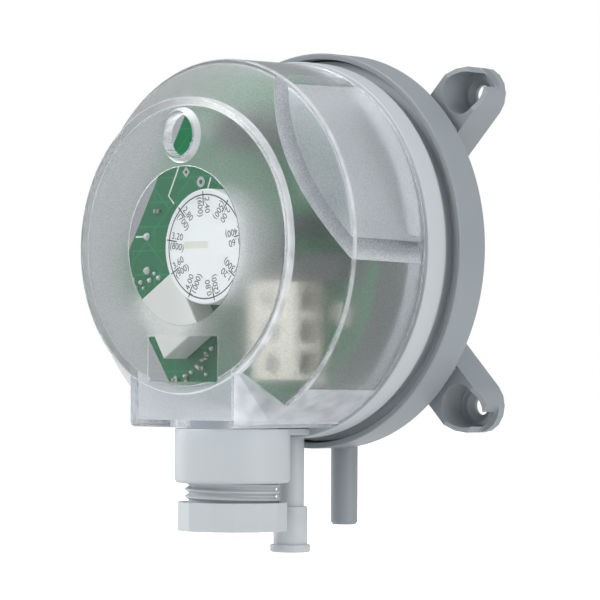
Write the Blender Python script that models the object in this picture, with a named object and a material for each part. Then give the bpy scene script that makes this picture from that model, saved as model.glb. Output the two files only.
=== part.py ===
"""Differential pressure switch with a clear cover, a setting dial and a cable gland.

Lengths are in metres. The origin is the middle of the flat wall face, +Y runs into the wall,
the cover faces -Y and +Z is up, so a distance d in front of the wall lies at y = -d.
"""

import math

import bmesh
import bpy
from mathutils import Matrix, Vector

# Fits and facets
SEAT_GAP = 0.0003          # gap left between pieces that touch
RUN_GAP = 0.0001           # radial clearance of a shaft that turns or slides
OVERSHOOT = 0.001          # how far a cutter runs past the face that it opens
EMBED = 0.0005             # how deep a rib or boss is rooted in its wall
ROUND_STEPS = 56           # facets of the large turned pieces
MIDDLE_STEPS = 32          # facets of turned pieces of middle size
SMALL_STEPS = 20           # facets of small turned pieces and bores
CRACKING_PIECES = ("base", "housing", "cover", "terminal_block")   # the exact solver leaves cracks here

# Base casing
POT_RADIUS = 0.031
POT_DEPTH = 0.0104         # wall face to the back of the ring
POT_WALL = 0.002
RING_RADIUS = 0.0425
RING_DEPTH = 0.00845
RING_WALL = 0.0013
RING_WEB = 0.002           # thickness of the ring's back plate
RING_ROUND = 0.0004
CHAMBER_FLOOR = 0.003      # thickness of the pot's floor
EAR_REACH = 0.00417        # screw centres lie this far outside the ring
EAR_WIDTH = 0.0114
EAR_DEPTH = 0.0085
EAR_FLOOR = 0.0018
EAR_WELL_RADIUS = 0.0046
EAR_HOLE_RADIUS = 0.002
EAR_SINK_RADIUS = 0.0033
EAR_SINK_DEPTH = 0.0009
EAR_LIP_DROP = 0.0027      # how far the well's rim slopes down towards the tip
HOOK_REACH = 0.0011        # how far a snap hook stands in from the ring
HOOK_DEPTH = 0.002
HOOK_HALF_ANGLE = math.radians(8)

# Hose ports
PORT_RADIUS = 0.0029
PORT_BORE_RADIUS = 0.0015
PORT_CHAMFER = 0.0004
REAR_PORT_SET_BACK = 0.0022    # port axis to the back of the ring
REAR_PORT_REACH = 0.0165       # port ends below the ring and below the housing
FRONT_PORT_REACH = 0.0191
FRONT_PORT_X = -0.0017

# Diaphragm and what it carries
DIAPHRAGM_THICKNESS = 0.0008
DIAPHRAGM_MARGIN = 0.0007      # clear of the ring all round
ROLL_RADIUS = 0.0035           # mean radius of the rolled convolution
ROLL_INSET = 0.0065            # chamber wall to the middle of the roll
PLATE_INSET = 0.0026           # roll to the plate's edge
PLATE_THICKNESS = 0.0015
PLATE_TRAVEL = 0.001
STEM_RADIUS = 0.0032
MAGNET_STEP = 0.0007           # magnet is this much slimmer than the stem
MAGNET_LENGTH = 0.002
SPRING_CLEARANCE = 0.0022      # stem to the middle of the wire
SPRING_WIRE_RADIUS = 0.00035
SPRING_TURNS = 5
SPRING_POINTS_PER_TURN = 9

# Middle housing
FLANGE_LEDGE = 0.0007          # flange stands out from the housing
HOUSING_ROUND = 0.0016
FLANGE_THICKNESS = 0.0027      # rear flange that the hooks hold
SHOULDER_GAP = 0.0008          # shadow gap between the base's ring and the housing's shoulder
CHAMBER_WALL = 0.0049          # flange's edge to the chamber
CHAMBER_DEPTH = 0.011
FLOOR_THICKNESS = 0.002
FLOOR_RISE = 0.0008            # floor stands proud of the rim that the cover meets
LOCATING_WALL = 0.0014
LOCATING_HEIGHT = 0.004
DOME_CLEARANCE = 0.001         # stem to the dome's bore
DOME_WALL = 0.001
POST_RADIUS = 0.0025
POST_HOLE_RADIUS = 0.0014
POST_TURNS = (109, 31, 206, 334)                   # degrees round the middle
POST_INSETS = (0.0088, 0.013, 0.0045, 0.0045)      # from the board's round edge

# Cable gland
GLAND_CLEARANCE = 0.00325      # nut to the port cap behind it
BOSS_STEP = 0.00224            # boss stands out from the thread
BOSS_LENGTH = 0.0114
BOSS_ROUND = 0.001
NECK_WALL = 0.0027
NECK_HEIGHT = 0.0045           # neck above the boss, inside the cover's foot
LINK_WIDTH = 0.013
LINK_HEIGHT = 0.0015
RIB_WIDTH = 0.008
SPIGOT_RADIUS = 0.0099
SPIGOT_LENGTH = 0.0069
SPIGOT_WALL = 0.0016
SEAL_LEDGE = 0.0015            # shoulder that the seal is pressed against
SEAL_LENGTH = 0.0051
SEAL_WALL = 0.003
SEAL_PROUD = 0.0006            # seal stands out of the spigot
WASHER_THICKNESS = 0.0005
WASHER_STEP = 0.0005           # washer's and nut's holes open outwards in steps
NUT_SIDES = 14
NUT_WALL = 0.0018
NUT_TURN = math.radians(8)
NUT_HEIGHT = 0.006
NUT_LIP = 0.0014
NUT_STEP = 0.001
NUT_EDGE = 0.0004

# Cap on the front port
CAP_WALL = 0.00045
CAP_GRIP = 0.0045              # length of port inside the cap
CAP_END = 0.005                # solid end, flange included
CAP_FLANGE_HEIGHT = 0.0017
CAP_FLANGE_WIDTH = 0.0007

# Clear cover
COVER_WALL = 0.0016
CONE_WIDTH = 0.00854
CONE_DEPTH = 0.0088
PLATEAU_STEP = 0.002
PLATEAU_EDGE = 0.0004
COVER_DRAFT = 0.00027          # wall leans in by this much towards the front
RIM_SET_BACK = 0.0006          # front of the round wall behind the terminal block's front
RIM_ROUND = 0.0008
COVER_LEDGE = 0.00053          # housing stands out from the cover
FOOT_WIDTH = 0.0307
FOOT_SET_BACK = 0.0005         # foot's front behind the plateau
FOOT_FLAT = 0.002              # cut off the round wall by the flat underside
FOOT_HEIGHT = 0.0177           # foot's block, from its root in the shell
FOOT_ROUND = 0.0012
FOOT_WALL = 0.0015
CROSS_WALL = 0.0023
CROSS_WALL_INSET = 0.00867     # cover's rim to the near side of the cross wall
CROSS_WALL_ANGLE = math.radians(30)
COLLAR_INSET = 0.00216         # collar to the plateau's edge
COLLAR_RADIUS = 0.0058
COLLAR_TOP_RADIUS = 0.005
COLLAR_PROUD = 0.0012
COLLAR_HOLE_RADIUS = 0.0045
WINDOW_RADIUS = 0.0166
WINDOW_DEPTH = 0.0003
SLOT_WINDOW_WIDTH = 0.0208
SLOT_WINDOW_HEIGHT = 0.0094
SLOT_WINDOW_INSET = 0.00266    # window's foot to the plateau's edge

# Circuit board and what it carries
BOARD_RISE = 0.0122            # floor to the front of the board
BOARD_THICKNESS = 0.0016
BOARD_CLEARANCE = 0.00177      # board's round edge to the cover's wall
BOARD_SIDE_GAP = 0.0005        # straight upper edges to the cross wall
BOARD_BOTTOM_GAP = 0.00247     # straight lower edge to the gland's neck
SCREW_HEAD_RADIUS = 0.0024
SCREW_HEAD_HEIGHT = 0.0013
SCREW_SHANK_RADIUS = 0.0011
SCREW_LENGTH = 0.006
SLOT_WIDTH = 0.0005
SLOT_DEPTH = 0.0004
POT_BODY_SIZE = 0.0095
POT_BODY_HEIGHT = 0.005
ROTOR_RADIUS = 0.0013
ROTOR_SET_BACK = 0.0008        # shaft's tip behind the dial's face wall
ROTOR_SEAT_DEPTH = 0.001
DIAL_GAP = 0.00118             # dial to the terminal block's inner corner, seen from the front
DIAL_SET_BACK = 0.0078         # dial's face behind the cover's plateau
DIAL_WALL = 0.0013
DIAL_HEIGHT = 0.0092
DIAL_FACE_THICKNESS = 0.0015
DIAL_EDGE = 0.0003
HUB_WALL = 0.002               # wall round the shaft's hole
HUB_GAP = 0.0007               # hub to the potentiometer's body
RELAY_SIZE = (0.0125, 0.0067, 0.0145)
RELAY_GAP = 0.002              # relay to the dial, seen from the front
RELAY_SHIFT = -0.0038          # along the side that faces the dial
RELAY_TURN = math.radians(-32)
BODY_EDGE = 0.0004             # bevel on moulded component bodies
TALL_CAN_RADIUS = 0.004
TALL_CAN_HEIGHT = 0.0107
TALL_CAN_TURN = math.radians(73)
TALL_CAN_INSET = 0.0114        # can's axis to the board's round edge
SMALL_CAN_RADIUS = 0.0025
SMALL_CAN_HEIGHT = 0.007
SMALL_CAN_TURN = math.radians(10)
SMALL_CAN_INSET = 0.014
CAN_EDGE = 0.0005
CHIP_SIZE = (0.005, 0.0016, 0.0062)
CHIP_TURN = math.radians(-82)
CHIP_GAP = 0.0056
HALL_SIZE = (0.004, 0.001, 0.003)
LIGHT_RADIUS = 0.0015
LIGHT_HEIGHT = 0.004
LIGHT_TURN = math.radians(103)
LIGHT_GAP = 0.0044

# Terminal block
BLOCK_WIDTH = 0.012
BLOCK_LENGTH = 0.020
BLOCK_TURN = math.radians(-50)     # direction of the block's outer corner
BLOCK_INSET = 0.0005               # outer corner to the board's round edge
POLES = 3
POLE_PITCH = 0.0064
CAVITY_FLOOR = 0.0011
CLAMP_TRAVEL = 0.0012
CAVITY_WIDTH = 0.0048
CAVITY_BACK_WALL = 0.0025
LEDGE_THICKNESS = 0.0005
HEAD_WELL_DEPTH = 0.0012
CLAMP_LENGTH = 0.0058
CLAMP_HEIGHT = 0.0039
CLAMP_BAR = 0.0008
CLAMP_TOP = 0.0012
TERMINAL_HEAD_RADIUS = 0.0018
TERMINAL_HEAD_HEIGHT = 0.0008
TERMINAL_SHANK_RADIUS = 0.00115
TERMINAL_SHANK_LENGTH = 0.0037

# Stations in front of the wall face, worked out from the sizes above
RING_FRONT = POT_DEPTH + RING_DEPTH
SEAT_FRONT = POT_DEPTH + RING_WEB
DIAPHRAGM_BACK = SEAT_FRONT + SEAT_GAP
DIAPHRAGM_FRONT = DIAPHRAGM_BACK + DIAPHRAGM_THICKNESS
HOUSING_BACK = DIAPHRAGM_FRONT + SEAT_GAP
FLANGE_FRONT = HOUSING_BACK + FLANGE_THICKNESS
CHAMBER_FRONT = HOUSING_BACK + CHAMBER_DEPTH
FLOOR_FRONT = CHAMBER_FRONT + FLOOR_THICKNESS
HOUSING_FRONT = FLOOR_FRONT - FLOOR_RISE
COVER_BACK = HOUSING_FRONT + SEAT_GAP
BOARD_FRONT = FLOOR_FRONT + BOARD_RISE
BOARD_BACK = BOARD_FRONT - BOARD_THICKNESS
PART_SEAT = BOARD_FRONT + SEAT_GAP
CAVITY_BACK = PART_SEAT + CAVITY_FLOOR
CAVITY_FRONT = CAVITY_BACK + CLAMP_HEIGHT + CLAMP_TRAVEL + 2 * SEAT_GAP
LEDGE_FRONT = CAVITY_FRONT + LEDGE_THICKNESS
BLOCK_FRONT = LEDGE_FRONT + HEAD_WELL_DEPTH
RIM_FRONT = BLOCK_FRONT - RIM_SET_BACK
COVER_FRONT = RIM_FRONT + CONE_DEPTH + PLATEAU_STEP
DIAL_FRONT = COVER_FRONT - DIAL_SET_BACK
RING_BORE = RING_RADIUS - RING_WALL
POT_BORE = POT_RADIUS - POT_WALL
FLANGE_RADIUS = RING_BORE - SEAT_GAP
HOUSING_RADIUS = FLANGE_RADIUS - FLANGE_LEDGE
CHAMBER_RADIUS = FLANGE_RADIUS - CHAMBER_WALL
DIAPHRAGM_RADIUS = FLANGE_RADIUS - DIAPHRAGM_MARGIN
ROLL_CENTRE = CHAMBER_RADIUS - ROLL_INSET
PLATE_RADIUS = ROLL_CENTRE - ROLL_RADIUS - DIAPHRAGM_THICKNESS / 2 - PLATE_INSET
DOME_BORE_RADIUS = STEM_RADIUS + DOME_CLEARANCE
COVER_REAR_RADIUS = HOUSING_RADIUS - COVER_LEDGE
RIM_RADIUS = COVER_REAR_RADIUS - COVER_DRAFT
PLATEAU_RADIUS = RIM_RADIUS - CONE_WIDTH
FOOT_DROP = COVER_REAR_RADIUS - FOOT_FLAT
CROSS_WALL_DISTANCE = COVER_REAR_RADIUS - CROSS_WALL_INSET
BOARD_RADIUS = COVER_REAR_RADIUS - COVER_WALL - BOARD_CLEARANCE
BLOCK_ACROSS = (BOARD_RADIUS - BLOCK_INSET) * math.cos(BLOCK_TURN) - BLOCK_WIDTH / 2
BLOCK_UP = (BOARD_RADIUS - BLOCK_INSET) * math.sin(BLOCK_TURN) + BLOCK_LENGTH / 2
DIAL_RADIUS = math.hypot(BLOCK_ACROSS - BLOCK_WIDTH / 2, BLOCK_UP + BLOCK_LENGTH / 2) - DIAL_GAP
GLAND_TOP = FOOT_DROP + SEAT_GAP
BOSS_END = GLAND_TOP + BOSS_LENGTH
SPIGOT_END = BOSS_END + SPIGOT_LENGTH
SEAL_SEAT_RADIUS = SPIGOT_RADIUS - SPIGOT_WALL
SEAL_BORE_RADIUS = SEAL_SEAT_RADIUS - SEAT_GAP - SEAL_WALL
GLAND_BORE_RADIUS = SEAL_SEAT_RADIUS - SEAL_LEDGE
NECK_RADIUS = GLAND_BORE_RADIUS + NECK_WALL
NECK_TOP = GLAND_TOP - NECK_HEIGHT
SEAL_END = SPIGOT_END + SEAL_PROUD
WASHER_TOP = SEAL_END + SEAT_GAP
WASHER_END = WASHER_TOP + WASHER_THICKNESS
NUT_SHOULDER = WASHER_END + SEAT_GAP
NUT_END = NUT_SHOULDER + NUT_LIP
NUT_BORE_RADIUS = SPIGOT_RADIUS + SEAT_GAP
NUT_RADIUS = SPIGOT_RADIUS + NUT_WALL
WASHER_BORE_RADIUS = SEAL_BORE_RADIUS + WASHER_STEP
FRONT_PORT_END = HOUSING_RADIUS + FRONT_PORT_REACH
REAR_PORT_END = RING_RADIUS + REAR_PORT_REACH
FRONT_PORT_FRONT = CHAMBER_FRONT - PORT_BORE_RADIUS - RUN_GAP
CAP_RADIUS = PORT_RADIUS + SEAT_GAP + CAP_WALL
CAP_FLANGE_RADIUS = CAP_RADIUS + CAP_FLANGE_WIDTH
GLAND_FRONT = FRONT_PORT_FRONT + CAP_FLANGE_RADIUS + NUT_RADIUS + GLAND_CLEARANCE
REAR_PORT_FRONT = POT_DEPTH - REAR_PORT_SET_BACK
HALL_BACK = BOARD_BACK - SEAT_GAP - HALL_SIZE[1]
DOME_FRONT = HALL_BACK - SEAT_GAP
DOME_END = DOME_FRONT - DOME_WALL
MAGNET_FRONT = DOME_END - SEAT_GAP - PLATE_TRAVEL
STEM_FRONT = MAGNET_FRONT - MAGNET_LENGTH - SEAT_GAP
PLATE_BACK = DIAPHRAGM_FRONT + SEAT_GAP
PLATE_FRONT = PLATE_BACK + PLATE_THICKNESS

def clear_scene():
    for item in list(bpy.data.objects):
        bpy.data.objects.remove(item, do_unlink=True)


def material(name, colour, roughness, metallic=0.0):
    """Principled material with one colour; the same name gives the same material."""
    found = bpy.data.materials.get(name)
    if found:
        return found
    made = bpy.data.materials.new(name)
    made.use_nodes = True
    shader = made.node_tree.nodes["Principled BSDF"]
    shader.inputs["Base Color"].default_value = (*colour, 1.0)
    shader.inputs["Roughness"].default_value = roughness
    shader.inputs["Metallic"].default_value = metallic
    made.diffuse_color = (*colour, 1.0)
    return made


def grey_casing():
    return material("grey_abs", (0.38, 0.41, 0.44), 0.45)


def light_casing():
    return material("light_grey_abs", (0.62, 0.64, 0.65), 0.42)


def clear_plastic():
    return material("clear_polycarbonate", (0.80, 0.82, 0.84), 0.15)


def white_plastic():
    return material("white_plastic", (0.86, 0.87, 0.86), 0.4)


def cream_plastic():
    return material("cream_plastic", (0.78, 0.76, 0.66), 0.45)


def black_plastic():
    return material("black_plastic", (0.03, 0.03, 0.035), 0.4)


def black_rubber():
    return material("black_rubber", (0.04, 0.04, 0.04), 0.75)


def plated_steel():
    return material("plated_steel", (0.62, 0.62, 0.63), 0.3, 1.0)


def board_laminate():
    return material("board_laminate", (0.02, 0.22, 0.12), 0.35)


def point(across, front, up):
    """A point from its distance in front of the wall face."""
    return Vector((across, -front, up))


def new_object(name, mesh_data, finish, origin=(0.0, 0.0, 0.0)):
    """Turn bmesh data, made around `origin`, into a named object."""
    bmesh.ops.remove_doubles(mesh_data, verts=mesh_data.verts, dist=1e-7)
    bmesh.ops.recalc_face_normals(mesh_data, faces=mesh_data.faces)
    mesh = bpy.data.meshes.new(name)
    mesh_data.to_mesh(mesh)
    mesh_data.free()
    mesh.shade_smooth()
    mesh.set_sharp_from_angle(angle=math.radians(30))
    if finish:
        mesh.materials.append(finish)
    made = bpy.data.objects.new(name, mesh)
    made.location = origin
    bpy.context.scene.collection.objects.link(made)
    return made


def arc(centre, radius, start, end, steps):
    """Points along an arc in a plane; the angles are in degrees."""
    points = []
    for step in range(steps + 1):
        angle = math.radians(start + (end - start) * step / steps)
        points.append((centre[0] + radius * math.cos(angle), centre[1] + radius * math.sin(angle)))
    return points


def turned(name, profile, finish=None, axis="Y", origin=(0.0, 0.0, 0.0), steps=ROUND_STEPS):
    """Spin a closed profile of (radius, distance along the axis) points about Y or Z.

    A profile whose two ends lie on the axis is spun as it is, any other is closed into a ring.
    """
    along = Vector((0.0, 1.0, 0.0)) if axis == "Y" else Vector((0.0, 0.0, 1.0))
    data = bmesh.new()
    verts = [data.verts.new(Vector((radius, 0.0, 0.0)) + along * place) for radius, place in profile]
    pairs = list(zip(verts, verts[1:]))
    if profile[0][0] > 0.0 or profile[-1][0] > 0.0:
        pairs.append((verts[-1], verts[0]))
    edges = [data.edges.new(pair) for pair in pairs]
    bmesh.ops.spin(
        data, geom=verts + edges, cent=(0.0, 0.0, 0.0), axis=along,
        angle=math.tau, steps=steps, use_merge=True, use_duplicate=False)
    return new_object(name, data, finish, origin)


def front_profile(profile):
    """Profile points given in front of the wall face, as distances along +Y."""
    return [(radius, -front) for radius, front in profile]


def down_profile(profile):
    """Profile points given below the middle, as distances along +Z."""
    return [(radius, -drop) for radius, drop in profile]


def extruded(name, outline, back, front, finish=None, origin=(0.0, 0.0, 0.0)):
    """Extrude an outline of (across, up) points from `back` to `front` of the wall face."""
    data = bmesh.new()
    verts = [data.verts.new(point(across, back, up)) for across, up in outline]
    face = data.faces.new(verts)
    grown = bmesh.ops.extrude_face_region(data, geom=[face])
    moved = [item for item in grown["geom"] if isinstance(item, bmesh.types.BMVert)]
    bmesh.ops.translate(data, verts=moved, vec=point(0.0, front - back, 0.0))
    return new_object(name, data, finish, origin)


def block(name, low, high, finish=None, edge=0.0, origin=(0.0, 0.0, 0.0)):
    """Box between two corners, with its edges bevelled by `edge`."""
    size = [abs(b - a) for a, b in zip(low, high)]
    middle = [(a + b) / 2 for a, b in zip(low, high)]
    data = bmesh.new()
    bmesh.ops.create_cube(data, size=1.0)
    bmesh.ops.scale(data, verts=data.verts, vec=size)
    bmesh.ops.translate(data, verts=data.verts, vec=middle)
    if edge > 0.0:
        bmesh.ops.bevel(data, geom=list(data.edges), offset=edge, segments=1, affect="EDGES")
    return new_object(name, data, finish, origin)


def helper(item):
    """Mark an object as a cutter or guide that isn't a piece of its own."""
    item.hide_render = True
    item.display_type = "WIRE"
    return item


def combine(target, tool, operation):
    step = target.modifiers.new(f"{operation.lower()} {tool.name}", "BOOLEAN")
    step.solver = "MANIFOLD" if target.name in CRACKING_PIECES else "EXACT"
    step.operation = operation
    step.object = helper(tool)


def join(target, *tools):
    for tool in tools:
        combine(target, tool, "UNION")


def cut(target, *tools):
    for tool in tools:
        combine(target, tool, "DIFFERENCE")


def rod(name, radius, start, end, axis="Y", centre=(0.0, 0.0, 0.0), steps=SMALL_STEPS):
    """Plain cylinder along Y or Z, between two distances from `centre`."""
    profile = [(0.0, start), (radius, start), (radius, end), (0.0, end)]
    return turned(name, profile, None, axis, centre, steps)


def polar(radius, angle):
    return radius * math.cos(angle), radius * math.sin(angle)


# Base casing


def base_body():
    """Turned pot and ring; the rear chamber and the housing's seat open to the front."""
    profile = [(0.0, 0.0), (POT_RADIUS, 0.0), (POT_RADIUS, POT_DEPTH)]
    profile += arc((RING_RADIUS - RING_ROUND, POT_DEPTH + RING_ROUND), RING_ROUND, -90, 0, 3)
    profile += [
        (RING_RADIUS, RING_FRONT),
        (RING_BORE, RING_FRONT),
        (RING_BORE, SEAT_FRONT),
        (POT_BORE, SEAT_FRONT),
        (POT_BORE, CHAMBER_FLOOR),
        (0.0, CHAMBER_FLOOR),
    ]
    return turned("base", front_profile(profile), grey_casing())


def ear_frame(angle):
    """Matrix that takes the X axis to the ear's direction about the base's middle."""
    return Matrix.Rotation(-angle, 4, "Y")


def strut_outline(start, end, width, round_end):
    """Outline of a strut along X, with a half-round end where asked."""
    half = width / 2
    outline = [(start, half), (start, -half)]
    if round_end:
        return outline + arc((end, 0.0), half, -90, 90, 10)
    return outline + [(end, -half), (end, half)]


def add_ear(base, number, angle):
    """Strut from the pot to a screw well whose outer side is cut open down to its floor."""
    reach = RING_RADIUS + EAR_REACH
    root = (POT_RADIUS + POT_BORE) / 2
    half = EAR_WIDTH / 2
    open_side = half * math.cos(math.radians(45))
    strut = extruded(f"ear_strut_{number}", strut_outline(root, reach, EAR_WIDTH, True), 0.0, EAR_DEPTH)
    web_end = RING_BORE - EMBED
    web_outline = strut_outline(root, web_end, EAR_WIDTH - EMBED, False)
    web = extruded(f"ear_web_{number}", web_outline, EMBED, POT_DEPTH + EMBED)
    well_profile = [
        (0.0, -OVERSHOOT),
        (EAR_HOLE_RADIUS, -OVERSHOOT),
        (EAR_HOLE_RADIUS, EAR_FLOOR - EAR_SINK_DEPTH),
        (EAR_SINK_RADIUS, EAR_FLOOR),
        (EAR_WELL_RADIUS, EAR_FLOOR),
        (EAR_WELL_RADIUS, EAR_DEPTH + EMBED),
        (0.0, EAR_DEPTH + EMBED),
    ]
    well = turned(f"ear_well_{number}", front_profile(well_profile), steps=SMALL_STEPS)
    notch_side = [
        (reach - open_side, EAR_DEPTH + EAR_LIP_DROP),
        (reach + open_side, EAR_DEPTH - EAR_LIP_DROP),
        (reach + open_side, EAR_FLOOR),
        (reach + EAR_WIDTH, EAR_FLOOR),
        (reach + EAR_WIDTH, EAR_DEPTH + EAR_LIP_DROP),
    ]
    notch = side_cutter(f"ear_notch_{number}", notch_side, EAR_WIDTH + 2 * OVERSHOOT)
    turn = ear_frame(angle)
    for tool in (strut, web, notch):
        tool.matrix_world = turn
    well.matrix_world = turn @ Matrix.Translation((reach, 0.0, 0.0))
    join(base, strut, web)
    cut(base, well, notch)


def side_cutter(name, side, width):
    """Solid of `width` along Z from an outline of (across, in front of the wall) points."""
    data = bmesh.new()
    verts = [data.verts.new(point(across, front, -width / 2)) for across, front in side]
    face = data.faces.new(verts)
    grown = bmesh.ops.extrude_face_region(data, geom=[face])
    moved = [item for item in grown["geom"] if isinstance(item, bmesh.types.BMVert)]
    bmesh.ops.translate(data, verts=moved, vec=(0.0, 0.0, width))
    return new_object(name, data, None)


def add_hook(base, number, angle):
    """Snap hook: a short arc that stands in from the ring over the housing's flange."""
    low = math.degrees(angle - HOOK_HALF_ANGLE)
    high = math.degrees(angle + HOOK_HALF_ANGLE)
    outline = arc((0.0, 0.0), RING_BORE + EMBED, low, high, 5)
    outline += arc((0.0, 0.0), RING_BORE - HOOK_REACH, high, low, 5)
    hook = extruded(f"hook_{number}", outline, RING_FRONT - HOOK_DEPTH, RING_FRONT)
    join(base, hook)


def add_port(target, name, centre, root, end, bore_root):
    """Hose stub pointing down from `root` to `end`, bored through into the chamber."""
    profile = [
        (0.0, root),
        (PORT_RADIUS, root),
        (PORT_RADIUS, end - PORT_CHAMFER),
        (PORT_RADIUS - PORT_CHAMFER, end),
        (0.0, end),
    ]
    stub = turned(f"{name}_stub", down_profile(profile), None, "Z", centre, SMALL_STEPS)
    bore = rod(f"{name}_bore", PORT_BORE_RADIUS, -bore_root, -end - OVERSHOOT, "Z", centre)
    join(target, stub)
    cut(target, bore)


def build_base():
    base = base_body()
    for number in range(1, 5):
        angle = math.radians(90 * number - 45)
        add_ear(base, number, angle)
        add_hook(base, number, angle)
    add_port(
        base, "rear_port", point(0.0, REAR_PORT_FRONT, 0.0),
        (POT_RADIUS + POT_BORE) / 2, REAR_PORT_END, POT_BORE - OVERSHOOT)


# Diaphragm and what it carries


def build_diaphragm():
    """Flat sheet with one half-round convolution that rolls towards the front."""
    middle = (DIAPHRAGM_BACK + DIAPHRAGM_FRONT) / 2
    half = DIAPHRAGM_THICKNESS / 2
    outer = ROLL_RADIUS + half
    inner = ROLL_RADIUS - half
    outer_start = math.degrees(math.asin(half / outer))
    profile = [(0.0, middle + half)]
    profile += arc((ROLL_CENTRE, middle), outer, 180 - outer_start, outer_start, 6)
    profile += [(DIAPHRAGM_RADIUS, middle + half), (DIAPHRAGM_RADIUS, middle - half)]
    profile += [(ROLL_CENTRE + inner, middle - half)]
    profile += arc((ROLL_CENTRE, middle), inner, 0, 180, 6)
    profile += [(ROLL_CENTRE - inner, middle - half), (0.0, middle - half)]
    turned("diaphragm", front_profile(profile), black_rubber(), steps=MIDDLE_STEPS)


def build_plate():
    profile = [
        (0.0, PLATE_BACK),
        (PLATE_RADIUS, PLATE_BACK),
        (PLATE_RADIUS, PLATE_FRONT),
        (STEM_RADIUS, PLATE_FRONT),
        (STEM_RADIUS, STEM_FRONT),
        (0.0, STEM_FRONT),
    ]
    turned("diaphragm_plate", front_profile(profile), white_plastic(), steps=MIDDLE_STEPS)
    magnet = rod("sensor_magnet", STEM_RADIUS - MAGNET_STEP, -MAGNET_FRONT + MAGNET_LENGTH, -MAGNET_FRONT)
    magnet.data.materials.append(plated_steel())


def build_spring():
    """Helical wire round the stem, short enough for the plate's whole travel."""
    start = PLATE_FRONT + SEAT_GAP + SPRING_WIRE_RADIUS
    end = CHAMBER_FRONT - SEAT_GAP - PLATE_TRAVEL - SPRING_WIRE_RADIUS
    curve = bpy.data.curves.new("diaphragm_spring", "CURVE")
    curve.dimensions = "3D"
    curve.bevel_depth = SPRING_WIRE_RADIUS
    curve.bevel_resolution = 1
    curve.use_fill_caps = True
    count = SPRING_TURNS * SPRING_POINTS_PER_TURN + 1
    spline = curve.splines.new("POLY")
    spline.points.add(count - 1)
    for index in range(count):
        share = index / (count - 1)
        across, up = polar(STEM_RADIUS + SPRING_CLEARANCE, math.tau * SPRING_TURNS * share)
        spline.points[index].co = (*point(across, start + (end - start) * share, up), 1.0)
    curve.materials.append(plated_steel())
    spring = bpy.data.objects.new("diaphragm_spring", curve)
    bpy.context.scene.collection.objects.link(spring)


# Middle housing


def housing_body():
    """Turned casing: rear chamber, held flange, floor with the sensor dome, locating wall."""
    neck_radius = HOUSING_RADIUS - HOUSING_ROUND
    shoulder = RING_FRONT + SHOULDER_GAP
    locating_radius = cover_inner_radius(HOUSING_FRONT) - SEAT_GAP
    dome_radius = DOME_BORE_RADIUS + DOME_WALL
    profile = [
        (0.0, DOME_END),
        (DOME_BORE_RADIUS, DOME_END),
        (DOME_BORE_RADIUS, CHAMBER_FRONT),
        (CHAMBER_RADIUS, CHAMBER_FRONT),
        (CHAMBER_RADIUS, HOUSING_BACK),
        (FLANGE_RADIUS, HOUSING_BACK),
        (FLANGE_RADIUS, FLANGE_FRONT),
        (neck_radius, FLANGE_FRONT),
    ]
    profile += arc((neck_radius, shoulder + HOUSING_ROUND), HOUSING_ROUND, -90, 0, 3)
    profile += [
        (HOUSING_RADIUS, HOUSING_FRONT),
        (locating_radius, HOUSING_FRONT),
        (locating_radius, HOUSING_FRONT + LOCATING_HEIGHT),
        (locating_radius - LOCATING_WALL, HOUSING_FRONT + LOCATING_HEIGHT),
        (locating_radius - LOCATING_WALL, FLOOR_FRONT),
        (dome_radius, FLOOR_FRONT),
        (dome_radius, DOME_FRONT),
        (0.0, DOME_FRONT),
    ]
    return turned("housing", front_profile(profile), light_casing())


def open_locating_wall(housing):
    """Gaps in the locating wall for the cover's foot and for its cross wall."""
    low = HOUSING_FRONT + RUN_GAP
    high = HOUSING_FRONT + LOCATING_HEIGHT + OVERSHOOT
    inside = cover_inner_radius(HOUSING_FRONT) - LOCATING_WALL - 2 * SEAT_GAP
    half = FOOT_WIDTH / 2
    drop = math.sqrt(inside ** 2 - half ** 2) - OVERSHOOT
    foot_gap = block(
        "foot_gap", point(-half, low, -HOUSING_RADIUS), point(half, high, -drop))
    outline = cross_wall_outline(SEAT_GAP)
    cut(housing, foot_gap, extruded("cross_wall_gap", outline, low, high))


def post_places():
    """Where the board's four screws stand."""
    return [polar(BOARD_RADIUS - inset, math.radians(turn)) for turn, inset in zip(POST_TURNS, POST_INSETS)]


def add_posts(housing):
    """Board posts; each is bored for its screw."""
    top = BOARD_BACK - SEAT_GAP
    for number, (across, up) in enumerate(post_places(), 1):
        centre = point(across, 0.0, up)
        join(housing, rod(f"post_{number}", POST_RADIUS, -FLOOR_FRONT + EMBED, -top, "Y", centre))
        bottom = BOARD_FRONT - SCREW_LENGTH - OVERSHOOT
        cut(housing, rod(f"post_hole_{number}", POST_HOLE_RADIUS, -bottom, -top - OVERSHOOT, "Y", centre))


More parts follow.
